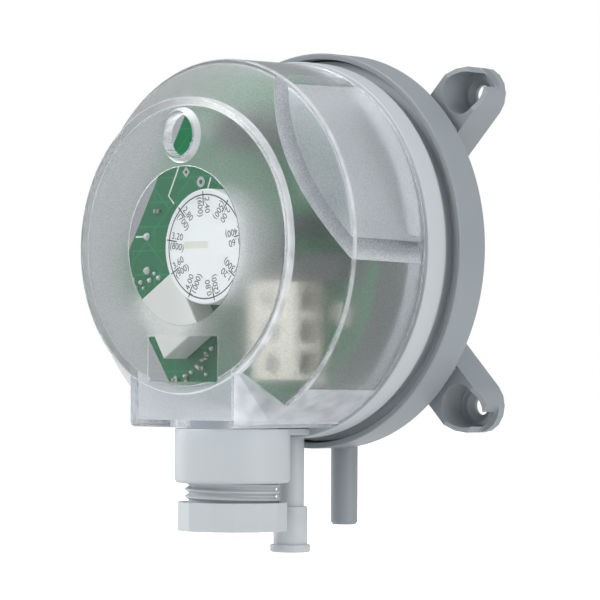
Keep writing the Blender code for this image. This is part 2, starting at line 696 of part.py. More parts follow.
def add_gland_boss(housing):
    """Boss under the cover's foot, with the neck above it and the bored spigot below."""
    centre = point(0.0, GLAND_FRONT, 0.0)
    boss_radius = SPIGOT_RADIUS + BOSS_STEP
    profile = [(0.0, NECK_TOP), (NECK_RADIUS, NECK_TOP)]
    profile += [(NECK_RADIUS, GLAND_TOP), (boss_radius, GLAND_TOP)]
    profile += arc((boss_radius - BOSS_ROUND, BOSS_END - BOSS_ROUND), BOSS_ROUND, 0, 90, 3)
    profile += [(SPIGOT_RADIUS, BOSS_END), (SPIGOT_RADIUS, SPIGOT_END), (0.0, SPIGOT_END)]
    boss = turned("gland_boss", down_profile(profile), None, "Z", centre, MIDDLE_STEPS)
    half = LINK_WIDTH / 2
    link = block(
        "gland_link", point(-half, HOUSING_FRONT - EMBED, -GLAND_TOP - LINK_HEIGHT),
        point(half, GLAND_FRONT, -GLAND_TOP))
    half = RIB_WIDTH / 2
    rib = block(
        "neck_rib", point(-half, HOUSING_FRONT - EMBED, -GLAND_TOP - EMBED),
        point(half, GLAND_FRONT, -NECK_TOP - EMBED))
    seat_top = SPIGOT_END - SEAL_LENGTH + SEAL_PROUD
    bore_profile = [
        (0.0, NECK_TOP - OVERSHOOT),
        (GLAND_BORE_RADIUS, NECK_TOP - OVERSHOOT),
        (GLAND_BORE_RADIUS, seat_top - SEAT_GAP),
        (SEAL_SEAT_RADIUS, seat_top - SEAT_GAP),
        (SEAL_SEAT_RADIUS, SPIGOT_END + OVERSHOOT),
        (0.0, SPIGOT_END + OVERSHOOT),
    ]
    bore = turned("gland_bore", down_profile(bore_profile), None, "Z", centre, MIDDLE_STEPS)
    join(housing, boss, link, rib)
    cut(housing, bore)


def build_housing():
    housing = housing_body()
    open_locating_wall(housing)
    add_posts(housing)
    add_gland_boss(housing)
    add_port(
        housing, "front_port", point(FRONT_PORT_X, FRONT_PORT_FRONT, 0.0),
        (CHAMBER_RADIUS + HOUSING_RADIUS) / 2, FRONT_PORT_END, CHAMBER_RADIUS - OVERSHOOT)


# Clear cover


def cover_inner_radius(front):
    """Inner radius of the cover's wall at a distance in front of the wall face."""
    share = (front - COVER_BACK) / (RIM_FRONT - COVER_BACK)
    return COVER_REAR_RADIUS + (RIM_RADIUS - COVER_REAR_RADIUS) * share - COVER_WALL


def cover_profile(shrink):
    """Turned outline from the axis at the front to the axis at the back.

    `shrink` is 0 for the outer side and the wall thickness for the inner side.
    """
    lean = math.atan2(RIM_RADIUS - PLATEAU_RADIUS, COVER_FRONT - PLATEAU_STEP - RIM_FRONT)
    slant = shrink * math.tan(lean / 2)
    plateau = PLATEAU_RADIUS - shrink
    front = COVER_FRONT - shrink
    foot_of_step = COVER_FRONT - PLATEAU_STEP - slant
    rim_front = RIM_FRONT - slant
    back = COVER_BACK - (OVERSHOOT if shrink else 0.0)
    return [
        (0.0, front),
        (plateau - PLATEAU_EDGE, front),
        (plateau, front - PLATEAU_EDGE),
        (plateau, foot_of_step),
        (RIM_RADIUS - shrink - RIM_ROUND * math.sin(lean), rim_front + RIM_ROUND * math.cos(lean)),
        (RIM_RADIUS - shrink, rim_front - RIM_ROUND),
        (COVER_REAR_RADIUS - shrink, back),
        (0.0, back),
    ]


def cover_solid(name, shrink):
    """Outer or inner form of the cover: turned body, foot, and the flat underside."""
    body = turned(name, front_profile(cover_profile(shrink)))
    half = FOOT_WIDTH / 2 - shrink
    wall = FOOT_WALL if shrink else 0.0
    back = COVER_BACK - (OVERSHOOT if shrink else 0.0)
    front = COVER_FRONT - FOOT_SET_BACK - shrink
    bottom = -FOOT_DROP + wall
    top = -FOOT_DROP + FOOT_HEIGHT + wall
    corner = max(FOOT_ROUND - wall, EMBED / 2)
    outline = [(half, top), (-half, top)]
    outline += arc((-half + corner, bottom + corner), corner, 180, 270, 4)
    outline += arc((half - corner, bottom + corner), corner, 270, 360, 4)
    foot = extruded(f"{name}_foot", outline, back, front)
    below = block(
        f"{name}_below", point(-half, back - OVERSHOOT, -2 * FOOT_DROP),
        point(half, front, bottom))
    cut(body, below)
    join(body, foot)
    return body


def cross_wall_outline(clearance):
    """Straight wall across the upper right of the cover, seen from the front."""
    near = CROSS_WALL_DISTANCE - clearance
    far = CROSS_WALL_DISTANCE + CROSS_WALL + clearance
    reach = COVER_REAR_RADIUS
    corners = [(near, -reach), (far, -reach), (far, reach), (near, reach)]
    cosine, sine = polar(1.0, CROSS_WALL_ANGLE)
    return [(a * cosine - b * sine, a * sine + b * cosine) for a, b in corners]


def add_cross_wall(cover):
    outline = cross_wall_outline(0.0)
    wall = extruded("cross_wall", outline, COVER_BACK + SEAT_GAP, COVER_FRONT - COVER_WALL / 2)
    combine(wall, cover_solid("cross_wall_limit", COVER_WALL / 2), "INTERSECT")
    join(cover, wall)


def add_collar(cover):
    """Tapered collar round a plain hole above the round window."""
    root = COVER_FRONT - COVER_WALL / 2
    profile = [
        (0.0, root),
        (COLLAR_RADIUS, root),
        (COLLAR_RADIUS, COVER_FRONT),
        (COLLAR_TOP_RADIUS, COVER_FRONT + COLLAR_PROUD),
        (0.0, COVER_FRONT + COLLAR_PROUD),
    ]
    centre = point(0.0, 0.0, PLATEAU_RADIUS - COLLAR_RADIUS - COLLAR_INSET)
    join(cover, turned("collar", front_profile(profile), None, "Y", centre, MIDDLE_STEPS))
    start = COVER_FRONT - COVER_WALL - OVERSHOOT
    end = COVER_FRONT + COLLAR_PROUD + OVERSHOOT
    cut(cover, rod("collar_hole", COLLAR_HOLE_RADIUS, -start, -end, "Y", centre, MIDDLE_STEPS))


def open_foot(cover):
    """Slot in the foot's underside that slides over the gland's neck."""
    half = NECK_RADIUS + SEAT_GAP
    outline = [(-half, GLAND_FRONT), (-half, COVER_BACK - OVERSHOOT)]
    outline += [(half, COVER_BACK - OVERSHOOT)]
    outline += arc((0.0, GLAND_FRONT), half, 0, 180, 12)[:-1]
    data = bmesh.new()
    bottom = -FOOT_DROP - OVERSHOOT
    verts = [data.verts.new(point(across, front, bottom)) for across, front in outline]
    face = data.faces.new(verts)
    grown = bmesh.ops.extrude_face_region(data, geom=[face])
    moved = [item for item in grown["geom"] if isinstance(item, bmesh.types.BMVert)]
    bmesh.ops.translate(data, verts=moved, vec=(0.0, 0.0, FOOT_WALL + 2 * OVERSHOOT))
    cut(cover, new_object("foot_slot", data, None))


def polish_windows(cover):
    """Round and rectangular windows, set into the inner side of the plateau."""
    inside = COVER_FRONT - COVER_WALL
    round_window = rod(
        "round_window", WINDOW_RADIUS, -inside + OVERSHOOT, -inside - WINDOW_DEPTH, steps=MIDDLE_STEPS)
    half = SLOT_WINDOW_WIDTH / 2
    middle = SLOT_WINDOW_INSET + SLOT_WINDOW_HEIGHT / 2 - PLATEAU_RADIUS
    slot_window = block(
        "slot_window", point(-half, inside - OVERSHOOT, middle - SLOT_WINDOW_HEIGHT / 2),
        point(half, inside + WINDOW_DEPTH, middle + SLOT_WINDOW_HEIGHT / 2))
    cut(cover, round_window, slot_window)


def build_cover():
    cover = cover_solid("cover", 0.0)
    cover.data.materials.append(clear_plastic())
    cut(cover, cover_solid("cover_inside", COVER_WALL))
    add_cross_wall(cover)
    add_collar(cover)
    open_foot(cover)
    polish_windows(cover)


# Cable gland and port cap


def gland_piece(name, profile, finish, steps=SMALL_STEPS):
    return turned(name, down_profile(profile), finish, "Z", point(0.0, GLAND_FRONT, 0.0), steps)


def build_gland():
    seal_top = SEAL_END - SEAL_LENGTH
    seal_radius = SEAL_SEAT_RADIUS - SEAT_GAP
    gland_piece("gland_seal", [
        (SEAL_BORE_RADIUS, seal_top), (seal_radius, seal_top),
        (seal_radius, SEAL_END), (SEAL_BORE_RADIUS, SEAL_END)], black_rubber())
    gland_piece("gland_washer", [
        (WASHER_BORE_RADIUS, WASHER_TOP), (SPIGOT_RADIUS, WASHER_TOP),
        (SPIGOT_RADIUS, WASHER_END), (WASHER_BORE_RADIUS, WASHER_END)], white_plastic())
    nut_top = NUT_END - NUT_HEIGHT
    hole = WASHER_BORE_RADIUS + NUT_STEP
    nut = gland_piece("gland_nut", [
        (0.0, nut_top), (NUT_RADIUS, nut_top), (NUT_RADIUS, NUT_END - NUT_EDGE),
        (NUT_RADIUS - NUT_EDGE, NUT_END), (0.0, NUT_END)], light_casing(), NUT_SIDES)
    nut.rotation_euler = (0.0, 0.0, NUT_TURN)
    bore = gland_piece("nut_bore", [
        (0.0, nut_top - OVERSHOOT), (NUT_BORE_RADIUS, nut_top - OVERSHOOT),
        (NUT_BORE_RADIUS, NUT_SHOULDER), (hole, NUT_SHOULDER),
        (hole, NUT_END + OVERSHOOT), (0.0, NUT_END + OVERSHOOT)], None)
    cut(nut, bore)


def build_port_cap():
    """Soft cap over the front port: thin skirt, solid end and a flange to pull it by."""
    bore = PORT_RADIUS + SEAT_GAP
    top = FRONT_PORT_END - CAP_GRIP
    inside = FRONT_PORT_END + SEAT_GAP
    end = inside + CAP_END
    profile = [
        (0.0, inside),
        (bore, inside),
        (bore, top),
        (CAP_RADIUS, top),
        (CAP_RADIUS, end - CAP_FLANGE_HEIGHT),
        (CAP_FLANGE_RADIUS, end - CAP_FLANGE_HEIGHT),
        (CAP_FLANGE_RADIUS, end - CAP_FLANGE_WIDTH / 2),
        (CAP_FLANGE_RADIUS - CAP_FLANGE_WIDTH / 2, end),
        (0.0, end),
    ]
    centre = point(FRONT_PORT_X, FRONT_PORT_FRONT, 0.0)
    turned("port_cap", down_profile(profile), white_plastic(), "Z", centre, SMALL_STEPS)


# Circuit board and what it carries


def chorded_disc(radius, chords):
    """Outline of a disc with straight edges; each chord is (direction in degrees, distance)."""
    spans = []
    for direction, distance in sorted(chords):
        half = math.degrees(math.acos(distance / radius))
        spans.append((direction - half, direction + half))
    outline = []
    for index, (_, leave) in enumerate(spans):
        meet = spans[(index + 1) % len(spans)][0]
        if meet < leave:
            meet += 360
        outline += arc((0.0, 0.0), radius, leave, meet, 10)
    return outline


def build_board():
    side = CROSS_WALL_DISTANCE - BOARD_SIDE_GAP
    turn = math.degrees(CROSS_WALL_ANGLE)
    chords = [(turn, side), (180 - turn, side), (270, NECK_TOP - BOARD_BOTTOM_GAP)]
    outline = chorded_disc(BOARD_RADIUS, chords)
    board = extruded("circuit_board", outline, BOARD_BACK, BOARD_FRONT, board_laminate())
    for number, (across, up) in enumerate(post_places(), 1):
        hole = rod(
            f"board_hole_{number}", POST_HOLE_RADIUS, -BOARD_BACK + OVERSHOOT,
            -BOARD_FRONT - OVERSHOOT, "Y", point(across, 0.0, up))
        cut(board, hole)


def slotted_screw(name, place, seat, head_radius, head_height, shank_radius, shank_length):
    """Screw along Y with its head's underside at `seat`; its origin is on its axis."""
    profile = [
        (0.0, seat - shank_length),
        (shank_radius, seat - shank_length),
        (shank_radius, seat),
        (head_radius, seat),
        (head_radius, seat + head_height),
        (0.0, seat + head_height),
    ]
    centre = point(place[0], 0.0, place[1])
    screw = turned(name, front_profile(profile), plated_steel(), "Y", centre, SMALL_STEPS)
    top = seat + head_height
    slot = block(
        f"{name}_slot", point(-2 * head_radius, top - SLOT_DEPTH, -SLOT_WIDTH / 2),
        point(2 * head_radius, top + OVERSHOOT, SLOT_WIDTH / 2), origin=centre)
    cut(screw, slot)


def build_board_screws():
    for number, place in enumerate(post_places(), 1):
        slotted_screw(
            f"board_screw_{number}", place, PART_SEAT, SCREW_HEAD_RADIUS, SCREW_HEAD_HEIGHT,
            SCREW_SHANK_RADIUS, SCREW_LENGTH)


def component_block(name, place, size, finish, seat=PART_SEAT, turn=0.0):
    """Moulded component body that stands on the board, turned about Y."""
    width, height, length = size
    made = block(
        name, point(-width / 2, seat, -length / 2), point(width / 2, seat + height, length / 2),
        finish, min(BODY_EDGE, height / 4), point(place[0], 0.0, place[1]))
    made.rotation_euler = (0.0, turn, 0.0)
    return made


def component_can(name, place, radius, height, finish):
    """Round component with a bevelled top."""
    profile = [
        (0.0, PART_SEAT),
        (radius, PART_SEAT),
        (radius, PART_SEAT + height - CAN_EDGE),
        (radius - CAN_EDGE, PART_SEAT + height),
        (0.0, PART_SEAT + height),
    ]
    centre = point(place[0], 0.0, place[1])
    turned(name, front_profile(profile), finish, "Y", centre, SMALL_STEPS)


def beside_dial(turn, gap, reach):
    """Place of a component that stands `gap` off the dial's edge, in the direction `turn`."""
    return polar(DIAL_RADIUS + gap + reach, turn)


def relay_place():
    """The relay stands square to a line from the dial, then shifts along its own side."""
    away, aside = polar(1.0, -RELAY_TURN)
    distance = DIAL_RADIUS + RELAY_GAP + RELAY_SIZE[0] / 2
    return -distance * away - RELAY_SHIFT * aside, -distance * aside + RELAY_SHIFT * away


def build_components():
    component_block("relay", relay_place(), RELAY_SIZE, cream_plastic(), turn=RELAY_TURN)
    chip_place = beside_dial(CHIP_TURN, CHIP_GAP, CHIP_SIZE[0] / 2)
    component_block("controller_chip", chip_place, CHIP_SIZE, black_plastic())
    component_block("hall_sensor", (0.0, 0.0), HALL_SIZE, black_plastic(), HALL_BACK)
    tall_place = polar(BOARD_RADIUS - TALL_CAN_INSET, TALL_CAN_TURN)
    component_can("capacitor_tall", tall_place, TALL_CAN_RADIUS, TALL_CAN_HEIGHT, black_plastic())
    small_place = polar(BOARD_RADIUS - SMALL_CAN_INSET, SMALL_CAN_TURN)
    component_can("capacitor_small", small_place, SMALL_CAN_RADIUS, SMALL_CAN_HEIGHT, black_plastic())
    light_place = beside_dial(LIGHT_TURN, LIGHT_GAP, LIGHT_RADIUS)
    component_can("status_light", light_place, LIGHT_RADIUS, LIGHT_HEIGHT, clear_plastic())


def build_dial():
    """Potentiometer on the board, its shaft, and the hollow dial knob pressed on the shaft."""
    body_top = PART_SEAT + POT_BODY_HEIGHT
    body = component_block(
        "potentiometer", (0.0, 0.0), (POT_BODY_SIZE, POT_BODY_HEIGHT, POT_BODY_SIZE), black_plastic())
    seat = body_top - ROTOR_SEAT_DEPTH
    cut(body, rod("rotor_seat", ROTOR_RADIUS + RUN_GAP, -seat, -body_top - OVERSHOOT))
    inside = DIAL_FRONT - DIAL_FACE_THICKNESS
    rotor_end = inside - ROTOR_SET_BACK
    rotor = rod("potentiometer_rotor", ROTOR_RADIUS, -seat - SEAT_GAP, -rotor_end)
    rotor.data.materials.append(plated_steel())
    hub_bore = ROTOR_RADIUS + SEAT_GAP
    hub_end = body_top + HUB_GAP
    profile = [
        (0.0, DIAL_FRONT),
        (DIAL_RADIUS - DIAL_EDGE, DIAL_FRONT),
        (DIAL_RADIUS, DIAL_FRONT - DIAL_EDGE),
        (DIAL_RADIUS, DIAL_FRONT - DIAL_HEIGHT),
        (DIAL_RADIUS - DIAL_WALL, DIAL_FRONT - DIAL_HEIGHT),
        (DIAL_RADIUS - DIAL_WALL, inside),
        (hub_bore + HUB_WALL, inside),
        (hub_bore + HUB_WALL, hub_end),
        (hub_bore, hub_end),
        (hub_bore, rotor_end + SEAT_GAP),
        (0.0, rotor_end + SEAT_GAP),
    ]
    turned("dial_knob", front_profile(profile), white_plastic(), steps=MIDDLE_STEPS)


# Terminal block


def build_terminals():
    """Block with a wire entry on its right side, a screw and a rising clamp for each pole."""
    across, up = BLOCK_ACROSS, BLOCK_UP
    size = (BLOCK_WIDTH, BLOCK_FRONT - PART_SEAT, BLOCK_LENGTH)
    body = component_block("terminal_block", (across, up), size, cream_plastic())
    for number in range(1, POLES + 1):
        pole_up = up + (number - (POLES + 1) / 2) * POLE_PITCH
        low = point(across - BLOCK_WIDTH / 2 + CAVITY_BACK_WALL, CAVITY_BACK, pole_up - CAVITY_WIDTH / 2)
        high = point(across + BLOCK_WIDTH / 2 + OVERSHOOT, CAVITY_FRONT, pole_up + CAVITY_WIDTH / 2)
        place = point(across, 0.0, pole_up)
        passage_radius = TERMINAL_SHANK_RADIUS + SEAT_GAP
        passage_start = CAVITY_FRONT - OVERSHOOT
        well_radius = TERMINAL_HEAD_RADIUS + SEAT_GAP
        top = BLOCK_FRONT + OVERSHOOT
        cut(
            body, block(f"cavity_{number}", low, high),
            rod(f"passage_{number}", passage_radius, -passage_start, -LEDGE_FRONT - EMBED, "Y", place),
            rod(f"head_well_{number}", well_radius, -LEDGE_FRONT, -top, "Y", place))
        slotted_screw(
            f"terminal_screw_{number}", (across, pole_up), LEDGE_FRONT + SEAT_GAP, TERMINAL_HEAD_RADIUS,
            TERMINAL_HEAD_HEIGHT, TERMINAL_SHANK_RADIUS, TERMINAL_SHANK_LENGTH)
        build_clamp(number, place, CAVITY_BACK + SEAT_GAP)


def build_clamp(number, place, back):
    """Small cage that the screw draws forward over the wire."""
    half = CAVITY_WIDTH / 2 - SEAT_GAP
    clamp = block(
        f"terminal_clamp_{number}", point(-CLAMP_LENGTH / 2, back, -half),
        point(CLAMP_LENGTH / 2, back + CLAMP_HEIGHT, half), plated_steel(), origin=place)
    half -= CLAMP_BAR
    window = block(
        f"clamp_window_{number}", point(-CLAMP_LENGTH, back + CLAMP_BAR, -half),
        point(CLAMP_LENGTH, back + CLAMP_HEIGHT - CLAMP_TOP, half), origin=place)
    hole = rod(
        f"clamp_hole_{number}", TERMINAL_SHANK_RADIUS + RUN_GAP, -back - CLAMP_HEIGHT + CLAMP_TOP + EMBED,
        -back - CLAMP_HEIGHT - OVERSHOOT, "Y", place)
    cut(clamp, window, hole)


def main():
    clear_scene()
    build_base()
    build_diaphragm()
    build_plate()
    build_spring()
    build_housing()
    build_board()
    build_board_screws()
    build_components()
    build_dial()
    build_terminals()
    build_cover()
    build_gland()
    build_port_cap()


main()
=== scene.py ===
# %% [markdown]
# # A differential pressure switch with a clear cover
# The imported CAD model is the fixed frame: its pieces give the places, sizes and motions.
# Here each piece that is seen gets a finer shape and a finish of its own.
# The origin is the middle of the wall face, -Y is the front and +Z is up.
# Blender works in metres; the sizes here are written in millimetres and multiplied by MM.

# %% Load the frame
import math

import bpy
from mathutils import Matrix, Vector


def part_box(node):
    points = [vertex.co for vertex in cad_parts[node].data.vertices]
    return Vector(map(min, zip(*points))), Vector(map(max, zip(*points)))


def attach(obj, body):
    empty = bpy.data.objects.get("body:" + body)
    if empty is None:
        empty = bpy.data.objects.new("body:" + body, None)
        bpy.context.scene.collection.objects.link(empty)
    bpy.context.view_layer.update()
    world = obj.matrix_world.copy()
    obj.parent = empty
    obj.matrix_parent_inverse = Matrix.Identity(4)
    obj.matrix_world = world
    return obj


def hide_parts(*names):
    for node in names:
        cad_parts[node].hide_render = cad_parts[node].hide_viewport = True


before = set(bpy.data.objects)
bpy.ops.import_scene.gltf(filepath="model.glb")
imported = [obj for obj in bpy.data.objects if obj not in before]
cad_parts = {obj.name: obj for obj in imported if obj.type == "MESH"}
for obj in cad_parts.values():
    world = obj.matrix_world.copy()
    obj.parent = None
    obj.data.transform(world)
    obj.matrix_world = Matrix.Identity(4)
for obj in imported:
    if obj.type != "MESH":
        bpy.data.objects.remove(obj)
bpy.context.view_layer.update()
MM = 0.001

# %% [markdown]
# ## Camera
# The viewing angle comes from matching the ring, the ears and the gland with the photograph.
# A long lens far away keeps the lines nearly parallel, as a product photographer does.

# %% Camera
LENS_MM = 210.0
CAMERA_PLACE = Vector((0.5202, -0.5623, -0.0267))
CAMERA_AZIMUTH = math.radians(43.93)
CAMERA_TILT = math.radians(1.228)
CAMERA_ROLL = math.radians(0.27)

camera_data = bpy.data.cameras.new("camera")
camera_data.lens = LENS_MM
camera_data.sensor_width = 36.0
camera_data.clip_start = 0.05
camera_data.clip_end = 20.0
camera = bpy.data.objects.new("camera", camera_data)
level = Vector((-math.sin(CAMERA_AZIMUTH), math.cos(CAMERA_AZIMUTH), 0.0))
forward = level * math.cos(CAMERA_TILT) + Vector((0.0, 0.0, 1.0)) * math.sin(CAMERA_TILT)
right = forward.cross(Vector((0.0, 0.0, 1.0))).normalized()
basis = Matrix((right, right.cross(forward), -forward)).transposed()
basis = Matrix.Rotation(-CAMERA_ROLL, 3, forward) @ basis
camera.matrix_world = Matrix.Translation(CAMERA_PLACE) @ basis.to_4x4()
bpy.context.scene.collection.objects.link(camera)
bpy.context.scene.camera = camera
print("camera lens", LENS_MM, "mm at", tuple(round(v, 3) for v in CAMERA_PLACE))

# %% [markdown]
# ## Nodes and colours
# A material is a tree of nodes whose sockets hold values or links.
# One helper adds a node with all that it needs, so a tree reads from top to bottom.
# Colours are chosen on a screen as sRGB hex, while sockets count light, so they are made linear.

# %% Node helper and colours


def linear(hex_colour):
    """Linear colour for Blender's sockets from an sRGB hex colour."""
    channels = [int(hex_colour[place:place + 2], 16) / 255 for place in (1, 3, 5)]
    straight = [c / 12.92 if c <= 0.04045 else ((c + 0.055) / 1.055) ** 2.4 for c in channels]
    return (*straight, 1.0)


def add_node(tree, kind, inputs=None, **settings):
    """Add a node with its settings; `inputs` gives each socket a value or another node's output."""
    node = tree.nodes.new(kind)
    for name, value in settings.items():
        setattr(node, name, value)
    for socket, value in (inputs or {}).items():
        if isinstance(value, bpy.types.NodeSocket):
            tree.links.new(value, node.inputs[socket])
        else:
            node.inputs[socket].default_value = value
    return node


def empty_tree(name):
    """A material with no nodes yet, and its tree."""
    finish = bpy.data.materials.new(name)
    finish.use_nodes = True
    finish.node_tree.nodes.clear()
    return finish, finish.node_tree


# %% [markdown]
# ## Floor and background
# The stage is a plain white floor that runs into a white surround.
# Stronger lamps would whiten it too, but they would bleach the object.
# So white is added for the camera only, and the background lights nothing.

# %% Floor and world
FLOOR_UP = -0.09
FLOOR_SIZE = 12.0
FLOOR_GLOW = 0.75
WORLD_LEVEL = 0.42

floor_finish, tree = empty_tree("matt_white_floor")
matt = add_node(tree, "ShaderNodeBsdfDiffuse", {"Color": linear("#f4f4f4")})
seen = add_node(tree, "ShaderNodeLightPath").outputs["Is Camera Ray"]
strength = add_node(tree, "ShaderNodeMath", {0: seen, 1: FLOOR_GLOW}, operation="MULTIPLY")
glow = add_node(tree, "ShaderNodeEmission", {"Color": linear("#ffffff"), "Strength": strength.outputs[0]})
mixed = add_node(tree, "ShaderNodeAddShader", {0: matt.outputs[0], 1: glow.outputs[0]})
add_node(tree, "ShaderNodeOutputMaterial", {"Surface": mixed.outputs[0]})

bpy.ops.object.select_all(action="DESELECT")
bpy.ops.mesh.primitive_plane_add(size=FLOOR_SIZE, location=(0.0, 0.0, FLOOR_UP))
floor = bpy.context.object
floor.name = "floor"
floor.data.materials.append(floor_finish)

world = bpy.data.worlds.new("white_surround")
world.use_nodes = True
tree = world.node_tree
tree.nodes.clear()
soft = add_node(tree, "ShaderNodeBackground", {"Color": linear("#f5f7fa"), "Strength": WORLD_LEVEL})
white = add_node(tree, "ShaderNodeBackground", {"Color": linear("#ffffff"), "Strength": 1.0})
seen = add_node(tree, "ShaderNodeLightPath").outputs["Is Camera Ray"]
mixed = add_node(tree, "ShaderNodeMixShader", {0: seen, 1: soft.outputs[0], 2: white.outputs[0]})
add_node(tree, "ShaderNodeOutputWorld", {"Surface": mixed.outputs[0]})
bpy.context.scene.world = world
bpy.context.scene.view_settings.view_transform = "Standard"
print("floor", FLOOR_SIZE, "m wide at", FLOOR_UP, "m")

# %% [markdown]
# ## Lamps
# Soft boxes light a product, so that its edges throw gentle shadows and plastic shows broad highlights.
# Square area lamps do the same here: a key lamp, one on each side and one above.
# Their power is low enough that a colour renders about as it is written and nothing pale clips.

# %% Lamps


def soft_lamp(name, place, size, power):
    """Square area lamp that looks at the middle of the switch."""
    data = bpy.data.lights.new(name, "AREA")
    data.shape = "SQUARE"
    data.size = size
    data.energy = power
    lamp = bpy.data.objects.new(name, data)
    aim = Vector((0.0, -0.03, 0.0)) - Vector(place)
    lamp.matrix_world = Matrix.Translation(place) @ aim.to_track_quat("-Z", "Y").to_matrix().to_4x4()
    bpy.context.scene.collection.objects.link(lamp)


soft_lamp("key_lamp", (-0.55, -1.0, 0.85), 0.7, 12.0)
soft_lamp("side_lamp", (1.2, 0.1, 0.45), 0.9, 9.0)
soft_lamp("left_lamp", (-1.3, -0.2, 0.3), 0.8, 4.0)
soft_lamp("top_lamp", (0.1, 0.0, 1.2), 0.6, 5.0)
print("lamps: key, side, left and top")

# %% [markdown]
# ## Drawing an outline
# Most pieces here are round or flat, so each starts as an outline, as on a drawing board.
# The outline begins as one vertex and is extruded from corner to corner.
# Corners carry a radius, because moulded and turned edges are never knife sharp.

# %% Selecting and drawing
FRONT = Vector((0.0, -1.0, 0.0))
DOWN = Vector((0.0, 0.0, -1.0))
SIDE = Vector((1.0, 0.0, 0.0))
SAME_PLACE = 1e-6


def pick(piece):
    """Make one piece the only one selected, and the active one."""
    bpy.ops.object.select_all(action="DESELECT")
    piece.select_set(True)
    bpy.context.view_layer.objects.active = piece


def rectangle(left, right, low, high, *radius):
    """Four corners of an outline, with a corner radius if one is given."""
    return [(across, up, *radius) for across, up in ((left, low), (right, low), (right, high), (left, high))]


def rounded(corners, steps=4):
    """Outline in which a corner (x, y, radius) becomes an arc; a corner (x, y) stays as it is."""
    outline = []
    for index, corner in enumerate(corners):
        place = Vector(corner[:2])
        if len(corner) == 2:
            outline.append(place)
            continue
        before = (Vector(corners[index - 1][:2]) - place).normalized()
        after = (Vector(corners[(index + 1) % len(corners)][:2]) - place).normalized()
        half = before.angle(after) / 2
        centre = place + (before + after).normalized() * corner[2] / math.sin(half)
        start = place + before * corner[2] / math.tan(half) - centre
        end = place + after * corner[2] / math.tan(half) - centre
        turn = math.atan2(start.x * end.y - start.y * end.x, start.dot(end))
        for step in range(steps + 1):
            outline.append(centre + Matrix.Rotation(turn * step / steps, 2) @ start)
    return outline


def draw(name, points):
    """Edit-mode polyline through the points, extruded vertex by vertex from a merged plane."""
    bpy.ops.object.select_all(action="DESELECT")
    bpy.ops.mesh.primitive_plane_add(size=0.01)
    piece = bpy.context.object
    piece.name = name
    bpy.ops.object.mode_set(mode="EDIT")
    bpy.ops.mesh.merge(type="CENTER")
    bpy.ops.transform.translate(value=points[0])
    for here, there in zip(points, points[1:]):
        bpy.ops.mesh.extrude_vertices_move(TRANSFORM_OT_translate={"value": there - here})
    return piece


# %% [markdown]
# ## From outline to solid
# Spinning an outline turns a ring, disc or tube as on a lathe, and extruding one makes a plate or a block.
# Both leave doubled vertices where the outline closes, so these are merged.
# Then the faces are turned outwards, since a cutter that is inside out cuts nothing.

# %% Turning and extruding


def merge_doubles():
    """Select all in edit mode and merge the vertices that lie in the same place."""
    bpy.ops.mesh.select_all(action="SELECT")
    bpy.ops.mesh.remove_doubles(threshold=SAME_PLACE)


def clean_up():
    """Merge the seam and turn the faces outwards, then leave edit mode."""
    merge_doubles()
    bpy.ops.mesh.normals_make_consistent(inside=False)
    bpy.ops.object.mode_set(mode="OBJECT")


def turned(name, corners, axis=FRONT, centre=(0.0, 0.0, 0.0), steps=96, closed=False):
    """Spin an outline of (radius, distance along the axis[, corner radius]) in mm about the axis.

    The outline of a disc starts and ends on the axis; that of a ring is `closed`.
    """
    outline = rounded(corners)
    if closed:
        outline.append(outline[0])
    middle = Vector(centre) * MM
    piece = draw(name, [middle + SIDE * radius * MM + axis * along * MM for radius, along in outline])
    bpy.ops.mesh.select_all(action="SELECT")
    bpy.ops.mesh.spin(steps=steps, angle=math.tau, center=middle, axis=axis)
    clean_up()
    return piece


def prism(name, corners, start, move, across=SIDE, along=-DOWN):
    """Close an outline in mm into a face that starts at `start`, and extrude it by `move`."""
    outline = rounded(corners)
    outline.append(outline[0])
    piece = draw(name, [(start + across * x + along * y) * MM for x, y in outline])
    merge_doubles()
    bpy.ops.mesh.edge_face_add()
    bpy.ops.mesh.extrude_region_move(TRANSFORM_OT_translate={"value": move * MM})
    clean_up()
    return piece


# %% [markdown]
# ## Cutting and rounding
# Holes, wells and slots could be modelled face by face, but a boolean cuts them exactly where they are.
# The Manifold solver takes closed meshes only and gives closed ones back.
# A bevel comes last, so it rounds the new edges too.

# %% Cutting and rounding


def combine(piece, tool, operation):
    """Apply a boolean of `tool` to the piece and remove the tool."""
    step = piece.modifiers.new(operation.lower(), "BOOLEAN")
    step.operation = operation
    step.object = tool
    step.solver = "MANIFOLD"
    pick(piece)
    bpy.ops.object.modifier_apply(modifier=step.name)
    bpy.data.objects.remove(tool)
    return piece


def drill(piece, radius, start, end, centre=(0.0, 0.0, 0.0), steps=32):
    """Cut a round hole from `start` to `end` mm in front of the wall."""
    hole = turned("hole", rectangle(0.0, radius, start, end), FRONT, centre, steps)
    return combine(piece, hole, "DIFFERENCE")


def soften(piece, width, segments=2, angle=35.0):
    """Round the sharp edges by `width` mm."""
    step = piece.modifiers.new("edges", "BEVEL")
    step.width = width * MM
    step.segments = segments
    step.limit_method = "ANGLE"
    step.angle_limit = math.radians(angle)
    pick(piece)
    bpy.ops.object.modifier_apply(modifier=step.name)
    return piece


# %% [markdown]
# ## Finishing a piece
# Smooth shading hides facets, yet it would also bend the light on flat faces.
# Normals weighted by face area keep the flats flat, so only the rounded edges catch the light.
# Each piece then rides on a body, and the CAD nodes that it stands for are hidden.

# %% Finishing a piece
SMOOTH_ANGLE = math.radians(30)


